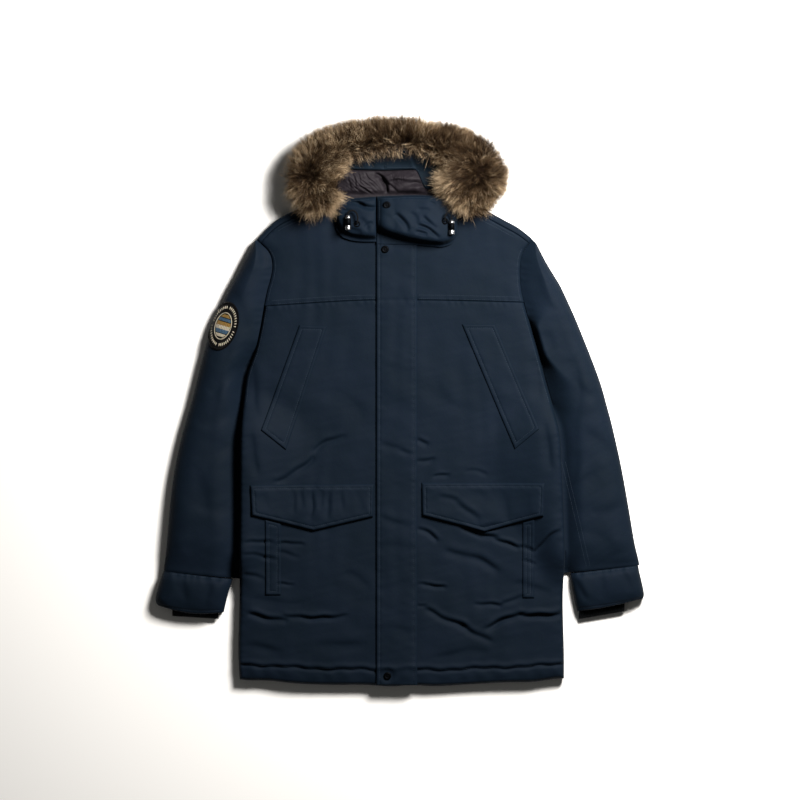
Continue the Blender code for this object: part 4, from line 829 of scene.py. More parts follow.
SLEEVE_CREASES = {
    # x0,  y0,   x1,   y1, bow, depth, half, ridge
    RIGHT: ((-239, 264, -238, 231, 2, 3.0, 7, 0.5), (-300, 190, -262, 120, 5, 1.6, 14, 0.4),
            (-286, 60, -330, 10, 5, 2.2, 12, 0.5), (-300, -20, -352, -46, 6, 2.0, 12, 0.5),
            (-296, -80, -340, -120, -5, 1.8, 12, 0.5), (-360, -110, -340, -190, 4, 1.4, 13, 0.4),
            (-300, -190, -372, -176, 5, 1.2, 14, 0.3), (-310, -236, -380, -252, 4, 0.8, 13, 0.3),
            (-304, -276, -352, -262, 3, 0.5, 9, 0.3), (-262, 96, -276, 40, 3, 1.0, 12, 0.4)),
    LEFT: ((301, 69, 292, -173, 8, 2.6, 13, 0.5), (236, 216, 268, 150, -5, 1.5, 14, 0.4),
           (300, 40, 334, 0, -4, 1.6, 12, 0.5), (322, -60, 366, -96, 5, 1.8, 12, 0.5),
           (300, -150, 340, -130, 4, 1.8, 11, 0.5), (330, -196, 384, -176, -5, 1.2, 13, 0.4),
           (302, -230, 366, -252, 5, 1.2, 14, 0.4), (346, -284, 396, -262, 3, 0.6, 9, 0.3),
           (252, 120, 262, 84, -2, 0.8, 12, 0.4)),
}
sleeves = {}
for side, label in SIDES:
    fold = np.array(TUCKED[side], float)
    lower = np.column_stack([fold[:-1, 1], fold[:-1, 0], np.array(LOWER_ROWS[side])])[::-1]
    table = np.array(ARMHOLE_ROWS[side], float)
    armhole = np.column_stack([side_x(side, table[:, 0]) + side * GAP / 2, table])
    rows = np.vstack([armhole, lower])
    last = len(rows) - 1
    reach = run_of((rows[:, :2] + rows[:, 2:]) / 2)
    at = np.interp(shares(reach[-1], 3.2) * reach[-1], reach, np.arange(last + 1))[:, None]
    inner_x, inner_y, outer_x, outer_y = rows_at(rows, at)
    tuck_in = side_x(side, inner_y) * side - 2.5 * ease((60 - inner_y) / 30) + GAP / 2
    inner_x = side * np.minimum(inner_x * side, tuck_in)
    outer_x = outer_x + (3 if side == LEFT else 0)
    width = np.hypot(outer_x - inner_x, outer_y - inner_y)
    share = shares(SLEEVE_WIDE, 3.0)[None, :]
    x, y = between(inner_x, outer_x, share), between(inner_y, outer_y, share)
    from_outer, from_inner = (1 - share) * width, share * width
    clear_of_body = (x - side_x(side, y)) * side - TUCK_OUT * ease((6 - y) / 60)
    # Beside the body the sleeve starts at its sewn edge above and under it below, and rises in an arc
    at_edge = lift(side_x(side, y), y) - TUCK_CLEAR
    if side == RIGHT:
        beside = between(at_edge, BACK + SEWN, ease((y - 50) / 60))
        rise = SLEEVE_RISE
    else:
        beside = between(at_edge, BACK + SEWN, ease((y - 112) / 36))
        beside = beside + 15 * ease((70 - y) / 30) * ease((y + 24) / 50)
        notch = ease((165 - y) / 40) * ease((y - 10) / 75)
        rise = SLEEVE_RISE * (1.25 - 0.95 * notch - 0.55 * ease((20 - y) / 80))
    full = SLEEVE - CUFF_DIP * (1 - ease((inner_y + 312) / 80))
    arc = np.sin(np.clip(clear_of_body / rise, 0, 1) * math.pi / 2)
    z = np.where(clear_of_body > 0, between(beside, full, arc), lift(x, y) - TUCK_CLEAR)
    z = np.minimum(z, between(SLEEVE_FOLD, full, rounded(from_outer / SLEEVE_ROUND)))
    closed = ease(at - len(armhole) + 1)
    tucked = between(SLEEVE_FOLD / 2, full, rounded(from_inner / SLEEVE_ROUND))
    z = np.maximum(between(z, np.minimum(z, tucked), closed), SLEEVE_THIN)
    free = ease(clear_of_body / 20) * ease(from_outer / 16)
    z = z + free * (creases(SLEEVE_CREASES[side], x, y) + swell(x, y, 120, 1.0, 0.5)
                    + swell(x, y, 40, 0.4, 1.1) - bell(at - last, 0.3))
    z = z + ease(clear_of_body / 4) * pucker(y, clear_of_body, 0.5, 12) * ease((y - 10) / 40)
    under = 5 * (1 - rounded(from_outer / 14)) + closed * 1.5 * (1 - rounded(from_inner / 12))
    x, y, z, under = (part[::-1, ::side] for part in (x, y, z, under))
    sleeves[side] = padded_wall(f"sleeve_{label}", x, y, z, under, 3)

# The wearer's left sleeve has a lengthwise seam with two rows of stitches
sew("stitches_sleeve_left", sleeves[LEFT], [
    bent([(278.5, -107), (298, -190), (316, -268), (321, -288)]),
    bent([(285, -107), (304.5, -190), (322.5, -268), (327.5, -288)])])


# ---------------------------------------------------------------------------------------------
# Cuffs: padded bands sewn to the sleeves, each a flat tube, open at its end, over a tight knitted
# inner cuff of black rib that is sewn inside it.

def closed_tube(name, side, x, y, top, bottom, material, v=None):
    """A closed surface over rings, each with its top from -X to +X and its underside on the way back.
    Strips from top to underside fill both ends. v replaces y in the UV map."""
    over, below = (points_on(x, y, z)[:, ::side] for z in (top, bottom))
    rings = np.concatenate([over, below[:, ::-1]], axis=1)
    uv = rings[..., :2].copy()
    if v is not None:
        uv[..., 1] = v
    count, around = rings.shape[:2]
    at = np.arange(around // 2 - 1)
    strip = np.stack([at, at + 1, around - 2 - at, around - 1 - at], -1)
    faces = [*quads(count, around, True), *strip, *((count - 1) * around + strip[:, ::-1])]
    return make_piece(name, rings.reshape(-1, 3), faces, material, uv.reshape(-1, 2) * MM)


CUFF_FOLD, CUFF_ROUND = 12.0, 25.0
CUFF_SAG = {RIGHT: 8.0, LEFT: 3.0}
CUFF_WIDE, CUFF_LONG = 120, 66
CUFF_ROWS = {
    # inner_x, inner_y, outer_x, outer_y, top, hollow
    RIGHT: ((-292.5, -311, -412, -297, 27, 0.6), (-296, -322, -417, -310, 34, 2),
            (-302, -343, -425, -338, 33, 7), (-306, -360, -425.5, -350, 29, 10),
            (-308, -368.5, -422, -356, 24, 11)),
    LEFT: ((294, -301, 411.5, -287, 27, 0.6), (294.5, -313, 414, -299, 34, 2),
           (299, -338, 420, -325, 33, 7), (303, -357, 422, -338, 29, 10),
           (306, -366.5, 420.5, -344, 24, 11)),
}
CUFF_CREASES = {
    # x0,  y0,   x1,   y1, bow, depth, half, ridge
    RIGHT: ((-330, -318, -340, -352, 2, 1.6, 7, 0.4), (-380, -314, -372, -350, 2, 1.4, 8, 0.4),
            (-400, -322, -410, -346, 1, 1.2, 6, 0.4)),
    LEFT: ((297, -311, 322, -345, 2, 3.2, 6, 0.5), (350, -306, 344, -344, 2, 1.4, 8, 0.4),
           (388, -300, 398, -334, 2, 1.4, 7, 0.4)),
}
KNIT_ROWS = {
    # inner_x, inner_y, outer_x, outer_y, bottom, top
    RIGHT: ((-318, -346, -396, -343, 13.2, 18.8), (-317, -372, -397, -366.5, 7.8, 15.0),
            (-316.6, -380, -397.3, -375, 3.5, 11.0)),
    LEFT: ((311, -344, 388, -331, 13.2, 18.8), (309, -369, 388, -357.5, 7.8, 15.0),
           (308.5, -380.5, 388, -367, 3.5, 11.0)),
}
KNIT_RIB, KNIT_WIDE = 2.7, 79      # from rib to rib; across the flat cuff

# Rib knit of black acrylic and wool: matt, in 2.7 mm ribs of soft V-shaped loops 1.6 mm long
knit, add, shader = new_material("black_rib_knit")
cut = add("UVMap", {"uv_map": "cut"})
loops = add("TexWave", {"Scale": WAVE / 0.0032, "bands_direction": "Y", "Distortion": 1.5,
                        "Detail": 1.0, "Vector": cut}, "Fac")
fuzz = add("TexNoise", {"Scale": 700.0, "Detail": 3.0, "Vector": cut})
relief = add("Math", {"operation": "MULTIPLY_ADD", 0: fuzz, 1: 0.5, 2: loops})
bump = add("Bump", {"Strength": 0.6, "Distance": 0.0006, "Height": relief})
add(shader, {"Base Color": "#05070a", "Roughness": 0.9, "Specular IOR Level": 0.04,
             "Sheen Weight": 0.02, "Sheen Roughness": 0.6, "Normal": bump})

for side, label in SIDES:
    down = shares(CUFF_LONG, 2.6)
    at = np.concatenate([down * 4, 4 - shares(CUFF_LONG, 5.0)[1:12] * 4])[:, None]
    outward = np.arange(len(at))[:, None] < len(down)
    inner_x, inner_y, outer_x, outer_y, full, hollow = rows_at(CUFF_ROWS[side], at)
    width = np.hypot(outer_x - inner_x, outer_y - inner_y)
    share = shares(CUFF_WIDE, 3.0, (0, 0.5, 1.3, 2.5, 4.2, 6.5, 9.5))[None, :]
    inset = np.where(outward, 0, 4.0) / width
    across = inset + (1 - 2 * inset) * share
    x, y = between(inner_x, outer_x, across), between(inner_y, outer_y, across)
    y = y - CUFF_SAG[side] * np.sin(math.pi * across) * (at / 4) ** 2
    from_fold = np.minimum(across, 1 - across) * width
    from_seam = at / 4 * CUFF_LONG
    top = between(CUFF_FOLD, full, rounded(from_fold / CUFF_ROUND))
    bottom = 4 * (1 - rounded(from_fold / 12))
    middle = np.minimum(full / 2, (top + bottom) / 2 + 2)
    top = top + (creases(CUFF_CREASES[side], x, y) + swell(x, y, 60, 0.6)) * ease(from_fold / 16)
    top = top + pucker(x, from_seam, 1.3, 11) * ease(from_fold / 12)
    top = top - bell(CUFF_LONG - from_seam - 9, 1.8)
    # The outside turns in at the rim, and the inside goes back up the hollow for the knitted cuff
    rim, gape = rounded((CUFF_LONG - from_seam) / 3.0), hollow / 2
    inside = gape * rounded(share * (1 - share) * 14)
    top = np.where(outward, between(middle + gape + 1, top, rim), middle + inside)
    bottom = np.where(outward, bottom + (1 - rim) * 0.4 * (middle - gape - bottom), middle - inside)
    piece = closed_tube(f"cuff_{label}_cloth", side, x, y, top, bottom, navy)
    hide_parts(f"cuff_{label}")
    seam, lines = np.linspace(0.06, 0.94, 60), []
    for down in (0.055, 0.86):
        inner_x, inner_y, outer_x, outer_y = rows_at(CUFF_ROWS[side], 4 * down)[:4]
        sag = CUFF_SAG[side] * np.sin(math.pi * seam) * down ** 2
        lines.append(points_on(between(inner_x, outer_x, seam), between(inner_y, outer_y, seam) - sag))
    sew(f"stitches_cuff_{label}", piece, lines)

    at = np.concatenate([np.linspace(0, 2, 22), [1.99, 1.9, 1.6, 1.0, 0.4, 0.1]])[:, None]
    outward = np.arange(28)[:, None] < 22
    inner_x, inner_y, outer_x, outer_y, low, high = rows_at(KNIT_ROWS[side], at)
    share = np.linspace(0, 1, 181)[None, :]
    x, y = between(inner_x, outer_x, share), between(inner_y, outer_y, share)
    ribs = np.cos(2 * math.pi * share * KNIT_WIDE / KNIT_RIB)
    y = y + 0.5 * ribs * ease(at - 1)
    fold = 0.3 + 0.7 * rounded(np.minimum(share, 1 - share) / 0.08)
    middle, half = (low + high) / 2, (high - low) / 2 * fold
    half = np.where(outward, half + 0.55 * ribs * fold - 0.5, 0.5 * fold)
    piece = closed_tube(f"knit_cuff_{label}_rib", side, x, y, middle + half, middle - half, knit, at * 18)
    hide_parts(f"knit_cuff_{label}")


# ---------------------------------------------------------------------------------------------
# Collar: two padded fronts of the same cloth that stand up round the chin and here fold over the top
# of the storm flap. The wearer's left front laps over the right one and is snapped shut.

COLLAR_BASE, COLLAR_HEM, COLLAR_TALL = BACK + GAP + FRONT + GAP + STORM_THICK + GAP, 5.0, 84
COLLAR_PLAN = {
    # x, crest_y, upper_y, puff, seam_y
    RIGHT: ((-112, 318, 336, 6, 295), (-104, 302, 344, 12, 284), (-92, 293, 348, 15, 278),
            (-78, 289, 350, 17, 275), (-64, 287, 351, 18, 274), (-50, 286, 352, 16, 274),
            (-43, 286, 352, 13, 274)),
    LEFT: ((-42.4, 302, 352.5, 13, 270.5), (-34, 298, 353, 22, 270), (-10, 289.5, 354, 26, 269.5),
           (22, 281, 355, 27, 269), (54, 276, 354, 26, 266), (76, 276, 352, 20, 266),
           (90, 282, 347, 12, 273), (98, 291, 340, 6, 284)),
}
COLLAR_PROFILE = ((0, 0.84), (0.04, 0.94), (0.1, 0.99), (0.2, 1.0), (0.4, 0.95), (0.6, 0.88),
                  (0.8, 0.8), (0.93, 0.7), (1, 0.42))
COLLAR_CREASES = {
    # x0,  y0,   x1,   y1, bow, depth, half, ridge
    RIGHT: ((-104, 344, -62, 335, 3, 6.0, 4, 0.3), (-74, 339, -44, 333, -1, 5.0, 4, 0.2),
            (-102, 330, -84, 324, 0, 2.5, 4, 0.4), (-62, 296, -48, 306, 2, 2.4, 5, 0.5),
            (-98, 296, -68, 290, 2, 2.6, 5, 0.4), (-70, 316, -56, 286, 2, 1.6, 6, 0.4)),
    LEFT: ((-9, 322, 12, 291, 4, 5.0, 5, 0.5), (30, 303, 66, 281, 2, 5.5, 3.6, 0.6),
           (26, 290, 46, 288, 0, 3.4, 3, 0.6), (50, 343, 60, 337, 0, 2.2, 3, 0.5),
           (29, 330, 50, 327, 1, 1.8, 4, 0.5), (38, 316, 62, 297, -2, 3.4, 4.5, 0.5),
           (66, 330, 84, 318, 1, 1.6, 5, 0.4), (-30, 318, -6, 300, 3, 1.4, 7, 0.3),
           (14, 322, 30, 308, 2, 1.6, 6, 0.4), (60, 352, 80, 330, 2, 1.4, 5, 0.4)),
}


def collar_plan(side, column, x):
    """A column of the collar's plan at any x: 1 its crest, 2 its upper edge, 3 its puff, 4 its seam."""
    return read(COLLAR_PLAN[side], x, column)


def collar_top(side, x, y):
    """The collar's outer face: its base + a hem + the puff times a profile from crest to upper edge,
    and below the crest a slope back down to the neck seam, with creases and a stitched channel."""
    crest, high, puff, seam = (collar_plan(side, column, x) for column in (1, 2, 3, 4))
    z = COLLAR_HEM + puff * read(COLLAR_PROFILE, np.clip((y - crest) / (high - crest), 0, 1))
    z = z + creases(COLLAR_CREASES[side], x, y) + swell(x, y, 45, 0.7, 0.4)
    z = z * (0.03 + 0.97 * ease(1 - (crest - y) / np.minimum(9, 0.7 * (crest - seam)))) + COLLAR_BASE
    z = z - bell(high - y - 5.5, 1.6) + pucker(x, high - y - 5.5, 0.25, 4)
    return np.maximum(z, COLLAR_BASE + 0.8)


for side, label in SIDES:
    start, end = COLLAR_PLAN[side][0][0], COLLAR_PLAN[side][-1][0]
    x = between(start, end, shares(end - start, 1.6)[None, :])
    low, high = collar_plan(side, 4, x), collar_plan(side, 2, x)
    y = between(low, high, shares(COLLAR_TALL, 1.6)[:, None])
    x = x + 0 * y
    far, near = (x - start, end - x)[::-side]
    away = np.minimum(np.minimum(far, high - y), 4 * (y - low))
    z = turned_down(collar_top(side, x, y), COLLAR_BASE, away, 5.0)
    z = turned_down(z, COLLAR_BASE, near, 2.2, 6.0)
    rim = np.linspace(start + 7, end - 12, 60)
    rows = [points_on(rim, collar_plan(side, 2, rim) - 5.5)]
    if side == LEFT:
        z = z - 0.9 * bell(x - start - 5.5, 1.5)
        rows.append(points_on(start + 5.5, np.linspace(310, 345, 20)))
    piece = padded_wall(f"collar_{label}", x, y, z, COLLAR_BASE, 4)
    sew(f"stitches_collar_{label}", piece, rows)


# ---------------------------------------------------------------------------------------------
# Hood: a padded shell folded flat behind the neck. Inside its rim runs a plain facing of the navy
# cloth with a slot for the cord, and below that its gathered lining shows.

SHELL_BASE, SHELL_RIM, SHELL_RIM_IN, SHELL_TALL = 24.0, 30.0, 27.0, 110
SHELL_OUTLINE = np.array([
    # x,   y
    (-172, 396), (-160, 424), (-130, 446), (-80, 460), (-10, 466), (60, 458), (110, 442), (140, 420),
    (152, 394),
])
SHELL_CREASES = (
    # x0,  y0,   x1,   y1, bow, depth, half, ridge
    (-120, 420, -70, 452, 4, 3.0, 8, 0.4), (40, 450, 96, 424, 4, 3.0, 8, 0.4),
    (-30, 462, -22, 430, 0, 2.0, 8, 0.4), (-160, 396, -128, 400, 2, 2.6, 8, 0.4),
    (118, 398, 150, 404, 2, 2.4, 8, 0.4),
)


def shell_edge(x):
    """The hood's outline behind the neck."""
    return read(SHELL_OUTLINE, x)


start, end = SHELL_OUTLINE[[0, -1], 0]
rim = np.linspace(start, end, 60)
SHELL_LINE = np.vstack([(start, top_y(start)), points_on(rim, shell_edge(rim)), (end, top_y(end))])


def shell_top(x, y):
    """The hood's outer face: a low crown with a Gaussian rim along a line 27 mm inside its outline."""
    away = line_distance(SHELL_LINE, x, y)
    z = 12 + (SHELL_BASE - 12 + SHELL_RIM * bell(away - SHELL_RIM_IN, 17)) * rounded(away / 16)
    return np.minimum(z, 14 + (SHELL_BASE + SHELL_RIM) * rounded((y - top_y(x) - 2 * GAP) / 30))


x = between(start, end, shares(end - start, 4.0)[None, :])
low = top_y(x) + 2 * GAP
y = between(low, shell_edge(x), shares(SHELL_TALL, 4.0)[:, None])
x = x + 0 * y
away = line_distance(SHELL_LINE, x, y)
uneven = creases(SHELL_CREASES, x, y) + swell(x, y, 70, 0.8)
z = shell_top(x, y) + uneven * ease(away / 10) * ease((y - low) / 10)
under = 6.0 * (1 - rounded(away / 20))
padded_wall("hood_shell", x, y, np.maximum(z, under + 2), under, 3)

FACING_X, FACING_WIDE, FACING_TALL, FACING_THICK = (-122, 86), 208, 44, 4.0
FACING_CREASES = (
    # x0,  y0,   x1,   y1, bow, depth, half, ridge
    (-62, 424, -48, 404, 2, 3.0, 5, 0.5), (-30, 406, -29, 396, 0, 2.4, 2.5, 0.3),
    (-26, 400, 34, 400, -1, 2.6, 1.8, 0.2), (-100, 408, -66, 404, 2, 2.0, 5, 0.5),
    (48, 424, 60, 398, 3, 3.0, 5, 0.4), (-20, 421, 40, 422, 1, 1.2, 4, 0.4),
)


def facing_edge(x):
    """The facing's lower edge, where the lining is sewn on: nearly level, and low in the shade of the
    ruff's left end."""
    return 398.5 + 0.7 * np.sin(x / 21) - 34 * ease((x - 24) / 20)


u, v = np.meshgrid(shares(FACING_WIDE, 2.2), shares(FACING_TALL, 1.6))
x = FACING_X[0] + FACING_WIDE * u
y = between(facing_edge(x), shell_edge(x) - SHELL_RIM_IN + 4, v)
lowest = np.max([shell_top(x + a, y + b) for a in (-6, 0, 6) for b in (-6, 0, 6)], axis=0) + 2 * GAP
away = np.minimum(np.minimum(x - FACING_X[0], FACING_X[1] - x), np.minimum(v, 1 - v) * 40)
z = lowest + FACING_THICK + creases(FACING_CREASES, x, y) * ease(away / 4) + swell(x, y, 40, 0.4)
z = z + 4 * ease((27 - x - 0.4 * (y - 400)) / 5) * ease((x + 100) / 20)
z = turned_down(np.maximum(z, lowest + 0.8), lowest, away, 2.5)
# The same microfibre with its dye a shade paler: a lit copy of the cloth, painted light that makes
# the facing look lit in the ruff's shadow
painted_lit_navy = navy.copy()
painted_lit_navy.name = "painted_lit_navy_microfibre"
add_node(painted_lit_navy.node_tree, painted_lit_navy.node_tree.nodes[dyed.node.name],
         {"stops": ((0.3, "#0a131a"), (0.72, "#0d161f"))})
facing = padded_wall("hood_facing", x, y, z, lowest, 3, painted_lit_navy)
x, y = np.linspace(-24, 32, 24), np.array([395, 407])
sew("stitches_hood_facing", facing, [points_on(x, 402.6), points_on(x, 397.4), bent(points_on(-27.5, y)),
                                     bent(points_on(-31.0, y))], pitch=2.4, length=2.0)

# Satin-faced nylon taffeta: thin, slippery and purple-grey, so that it shines along its gathers. Its
# yarns are 0.1 mm apart, drawn at 0.25 mm.
taffeta, add, shader = new_material("purple_grey_nylon_taffeta")
place = add("TexCoord", {}, "Object")
ribbing = add("TexWave", {"Scale": WAVE / 0.0005, "bands_direction": "X", "Vector": place}, "Fac")
crush = add("TexNoise", {"Scale": 130.0, "Detail": 5.0, "Roughness": 0.6, "Distortion": 0.8,
                         "Vector": place})
shade = add("ValToRGB", {"Fac": crush, "stops": ((0.3, "#131014"), (0.75, "#1e1b1f"))})
yarns = add("Bump", {"Strength": 0.1, "Distance": 0.0002, "Height": ribbing})
bump = add("Bump", {"Strength": 0.5, "Distance": 0.0015, "Height": crush, "Normal": yarns})
add(shader, {"Base Color": shade, "Roughness": 0.6, "Specular IOR Level": 0.08, "Normal": bump})

LINING_X, LINING_WIDE, LINING_TALL, LINING_LOW, LINING_UNDER = (-112, 84), 196, 90, 326.0, 24.5
LINING_PUFFS = (
    # x, y, half_x, half_y, height
    (-72, 378, 26, 18, 8), (6, 384, 30, 10, 12), (22, 366, 38, 8, 10), (-96, 388, 14, 10, 6),
)
LINING_CREASES = (
    # x0,  y0,   x1,   y1, bow, depth, half, ridge
    (-44, 392, -20, 372, 2, 7, 3.4, 0.2), (-33, 384, -24, 358, 2, 8, 3.6, 0.1),
    (-24, 374, -6, 360, 2, 3.0, 2.4, 0.4), (-84, 392, -78, 366, 2, 2.0, 1.8, 0.7),
    (-76, 394, -70, 378, 1, 1.8, 1.6, 0.7), (-62, 392, -50, 378, -1, 2.0, 1.8, 0.7),
    (-82, 368, -66, 358, 1, 2.0, 1.5, 0.8), (-72, 371, -52, 357, 1, 2.4, 1.6, 0.8),
    (-66, 367, -46, 354, 1, 2.4, 1.5, 0.8), (-58, 368, -42, 357, 1, 2.0, 1.5, 0.8),
    (-92, 386, -86, 366, 0, 1.6, 1.6, 0.7), (-15, 390, -13, 379, 0, 1.6, 1.2, 0.6),
    (-11.5, 391, -10, 378, 0, 2.0, 1.2, 0.6), (-8, 391, -7, 378, 0, 2.0, 1.1, 0.6),
    (-4.5, 391, -3.5, 379, 0, 1.8, 1.1, 0.6), (-1, 390, 0, 379, 0, 1.6, 1.1, 0.6),
    (3, 389, 4, 380, 0, 1.2, 1.2, 0.6), (-20, 378, 20, 376, 3, 1.6, 3, 0.7),
    (18, 378, 46, 364, 3, 3.4, 4, 0.6), (30, 366, 50, 356, 2, 3.0, 3, 0.4),
)
x = LINING_X[0] + LINING_WIDE * shares(LINING_WIDE, 1.3)[None, :]
high = facing_edge(x) - 2 * GAP
y = between(LINING_LOW, high, shares(LINING_TALL, 1.3)[:, None])
x = x + 0 * y
shows = ease((y - 355) / 8)
recess = ease((x - 27 - 0.4 * (398 - y)) / 7) * ease((y - 356) / 5)
z = COLLAR_BASE - GAP + shows * (3 - 9 * recess)
for at_x, at_y, half_x, half_y, height in LINING_PUFFS:
    z = z + shows * height * bell(x - at_x, half_x) * bell(y - at_y, half_y) * (1 - recess)
gather = np.sin((x * 0.62 + y * 0.79) * 1.5 + 1.9 * np.sin(y / 8) + 1.6 * np.sin(x / 6.1))
gather = gather * bell(x + 66, 26) * bell(y - 368, 22) * 0.8
z = z + shows * (creases(LINING_CREASES, x, y) + gather + swell(x, y, 24, 0.7, 0.9))
away = np.minimum(np.minimum(x - LINING_X[0], LINING_X[1] - x), np.minimum(y - LINING_LOW, high - y) + 0.6)
z = turned_down(np.maximum(z, LINING_UNDER + 2.0), LINING_UNDER, away, 3.0)
padded_wall("hood_lining", x, y, z, LINING_UNDER, 5, taffeta, "taffeta")


# ---------------------------------------------------------------------------------------------
# Fur ruff: a strip of long-pile imitation fur rolled round the hood's edge. Brown acrylic hairs with
# dark roots and pale tips grow from a knitted backing in tufts, combed out over the hood, and curl
# out of a dark crown at each of the two ends that hang at the chin.

FUR = np.array([
    # x,   y,   half_width, top
    (-141, 327, 7, 58), (-142, 336, 26, 76), (-144, 354, 42, 88), (-147, 378, 51, 92),
    (-146, 403, 46, 92), (-127, 425, 39, 90), (-98, 442, 33, 88), (-60, 450, 32, 86),
    (-12, 454, 31, 86), (40, 450, 30, 86), (85, 437, 34, 88), (113, 418, 46, 91),
    (124, 396, 59, 93), (123, 372, 59, 92), (125, 355, 46, 88), (128, 341, 28, 78),
    (130, 330, 7, 58),
], float)
FUR_MIDDLE, FUR_FLOOR = 50.0, 5.0


def under_fur(x, y):
    """The highest of the shoulders, the hood and the collar at each point, as the ruff lies on them."""
    z = np.where((y < top_y(x)) & (y > 100), body_top(x, y, False), 0.0)
    over_hood = (y > top_y(x)) & (y < shell_edge(x)) & (np.abs(x + 10) < 162)
    z = np.where(over_hood, np.maximum(z, shell_top(x, y)), z)
    for side in (RIGHT, LEFT):
        on = (x > COLLAR_PLAN[side][0][0]) & (x < COLLAR_PLAN[side][-1][0])
        on &= (y > collar_plan(side, 4, x)) & (y < collar_plan(side, 2, x))
        z = np.where(on, np.maximum(z, collar_top(side, x, y)), z)
    return z


def ruff(spot, angle, shrink):
    """The ruff's surface at a row of its table and an angle round it: an ellipse across its centre
    line, from 0 on the side of the face, over the top at a quarter turn. shrink is how far the
    surface is in from the hairs' tips."""
    spot = np.clip(spot, 0, len(FUR) - 1)
    x, y, half, top = rows_at(FUR, spot)
    ahead_x, ahead_y = rows_at(np.gradient(FUR[:, :2], axis=0), spot)
    long = np.hypot(ahead_x, ahead_y)
    reach = np.maximum(half - shrink, 0.22 * half) * np.cos(angle)
    rise = np.sin(angle)
    tall = np.where(rise > 0, np.maximum(top - shrink - FUR_MIDDLE, 4), FUR_MIDDLE - FUR_FLOOR - shrink / 2)
    x, y = x + ahead_y / long * reach, y - ahead_x / long * reach
    return np.stack([x, y, np.maximum(FUR_MIDDLE + tall * rise, under_fur(x, y) + 1.0)], -1)


# Fur backing: a dark brown knitted ground with short curly underwool, 2 mm clumps
underwool, add, shader = new_material("brown_underwool")
clumps = add("TexNoise", {"Scale": 480.0, "Detail": 4.0, "Roughness": 0.7,
                          "Vector": add("TexCoord", {}, "Object")})
brown = add("ValToRGB", {"Fac": clumps, "stops": ((0.0, "#120c07"), (1.0, "#33241a"))})
bump = add("Bump", {"Strength": 1.0, "Distance": 0.003, "Height": clumps})
add(shader, {"Base Color": brown, "Roughness": 0.95, "Specular IOR Level": 0.1, "Normal": bump})

spot, angle = np.meshgrid(np.linspace(0, len(FUR) - 1, 160), np.arange(48) * math.pi / 24, indexing="ij")
rings = ruff(spot, angle, 24.0)
backing = capped("fur_backing", rings, rings[[0, -1]].mean(axis=1), underwool)
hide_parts("fur_ruff")

# Guard hair: modacrylic, 0.1 mm thick and slightly glossy, drawn 0.36 mm wide. u of its UV map goes
# from root to tip, where the dye fades from dark brown to cream, and v is each lock's own shade: its
# dye, with painted shade at the crowns and on the face side of the arc behind the face
hair, add, shader = new_material("brown_modacrylic_hair")
axes = add("SeparateXYZ", {"Vector": add("UVMap", {"uv_map": "cut"})})
shift = add("Math", {"operation": "MULTIPLY_ADD", 0: axes.node.outputs["Y"], 1: 0.7, 2: -0.37})
fade = add("Math", {"operation": "ADD", 0: axes, 1: shift})
dyed = add("ValToRGB", {"Fac": fade, "stops": (
    (0.0, "#090603"), (0.38, "#191009"), (0.56, "#302417"), (0.72, "#51402e"), (0.86, "#836f56"),
    (1.0, "#baa689"))})
add(shader, {"Base Color": dyed, "Roughness": 0.5, "Specular IOR Level": 0.05})

LOCKS, HAIRS, HAIR_HALF = 8400, 14, 0.18
rng = np.random.default_rng(7)
# Where the hair parts in all directions: x, y, reach, sharpness and swirl of each crown
CROWNS = ((-160, 383, 60, 7, 0.1), (138, 390, 60, 4, -0.15), (-108, 375, 23, 2.5, 1.0))


def wavy(seed):
    """A smooth uneven value at each root from about -1 to 1, in waves of 25 to 60 mm."""
    return (np.sin(at_x / 9.1 + at_y / 13.7 + seed) + np.sin(at_y / 7.3 - at_x / 16.1 + 2.1 * seed)
            + np.sin(at_x / 5.3 + at_y / 4.1 + 3.7 * seed)) / 3


# Roots: even over the skin, so the locks' places along the ruff follow its width and its length
rows = np.linspace(0.1, len(FUR) - 1.1, 400)
middle_x, middle_y, half = rows_at(FUR[:, :3], rows)
step_x, step_y = np.gradient(middle_x, rows), np.gradient(middle_y, rows)
density = np.cumsum(np.hypot(step_x, step_y) * half)
spot = np.interp(rng.uniform(0, density[-1], LOCKS), density, rows)
angle = rng.uniform(-0.8, math.pi + 0.8, LOCKS)
root = ruff(spot, angle, 22.0)
at_x, at_y = root[:, 0], root[:, 1]
face_x, face_y = unit(points_on(np.interp(spot, rows, step_y), -np.interp(spot, rows, step_x))).T
normal = unit(points_on(face_x * np.cos(angle), face_y * np.cos(angle), 1.1 * np.sin(angle)))
# Combing: away from the parting near the face, outward over the hood and along the rim inside it
sweep = np.tanh((np.cos(angle) - 0.84 + 0.12 * wavy(5.0)) / 0.3)
over = np.maximum(sweep, 0)
comb = points_on(face_x * sweep + 0.9 * over, face_y * sweep, 0 * sweep)
crowned = np.zeros(LOCKS)
for x, y, reach, sharp, swirl in CROWNS:
    dx, dy = at_x - x, at_y - y
    away = np.hypot(dx, dy)
    near = 1 / (1 + np.exp((away - reach) / sharp))
    radial = points_on(dx + swirl * dy, dy - swirl * dx, 0 * away) / (away + 0.25 * reach)[:, None]
    comb += (radial - comb) * near[:, None]
    crowned = np.maximum(crowned, bell(away, 0.42 * reach))
rim = near * bell(away - 22, 5) * (dy > dx)
turn = 0.55 * wavy(1.0) + rng.normal(0, 0.38, LOCKS)
comb = points_on(comb[:, 0] * np.cos(turn) - comb[:, 1] * np.sin(turn),
                 comb[:, 0] * np.sin(turn) + comb[:, 1] * np.cos(turn), comb[:, 2])
heading = unit(0.6 * normal + 0.85 * comb + rng.normal(0, 0.2, (LOCKS, 3)))
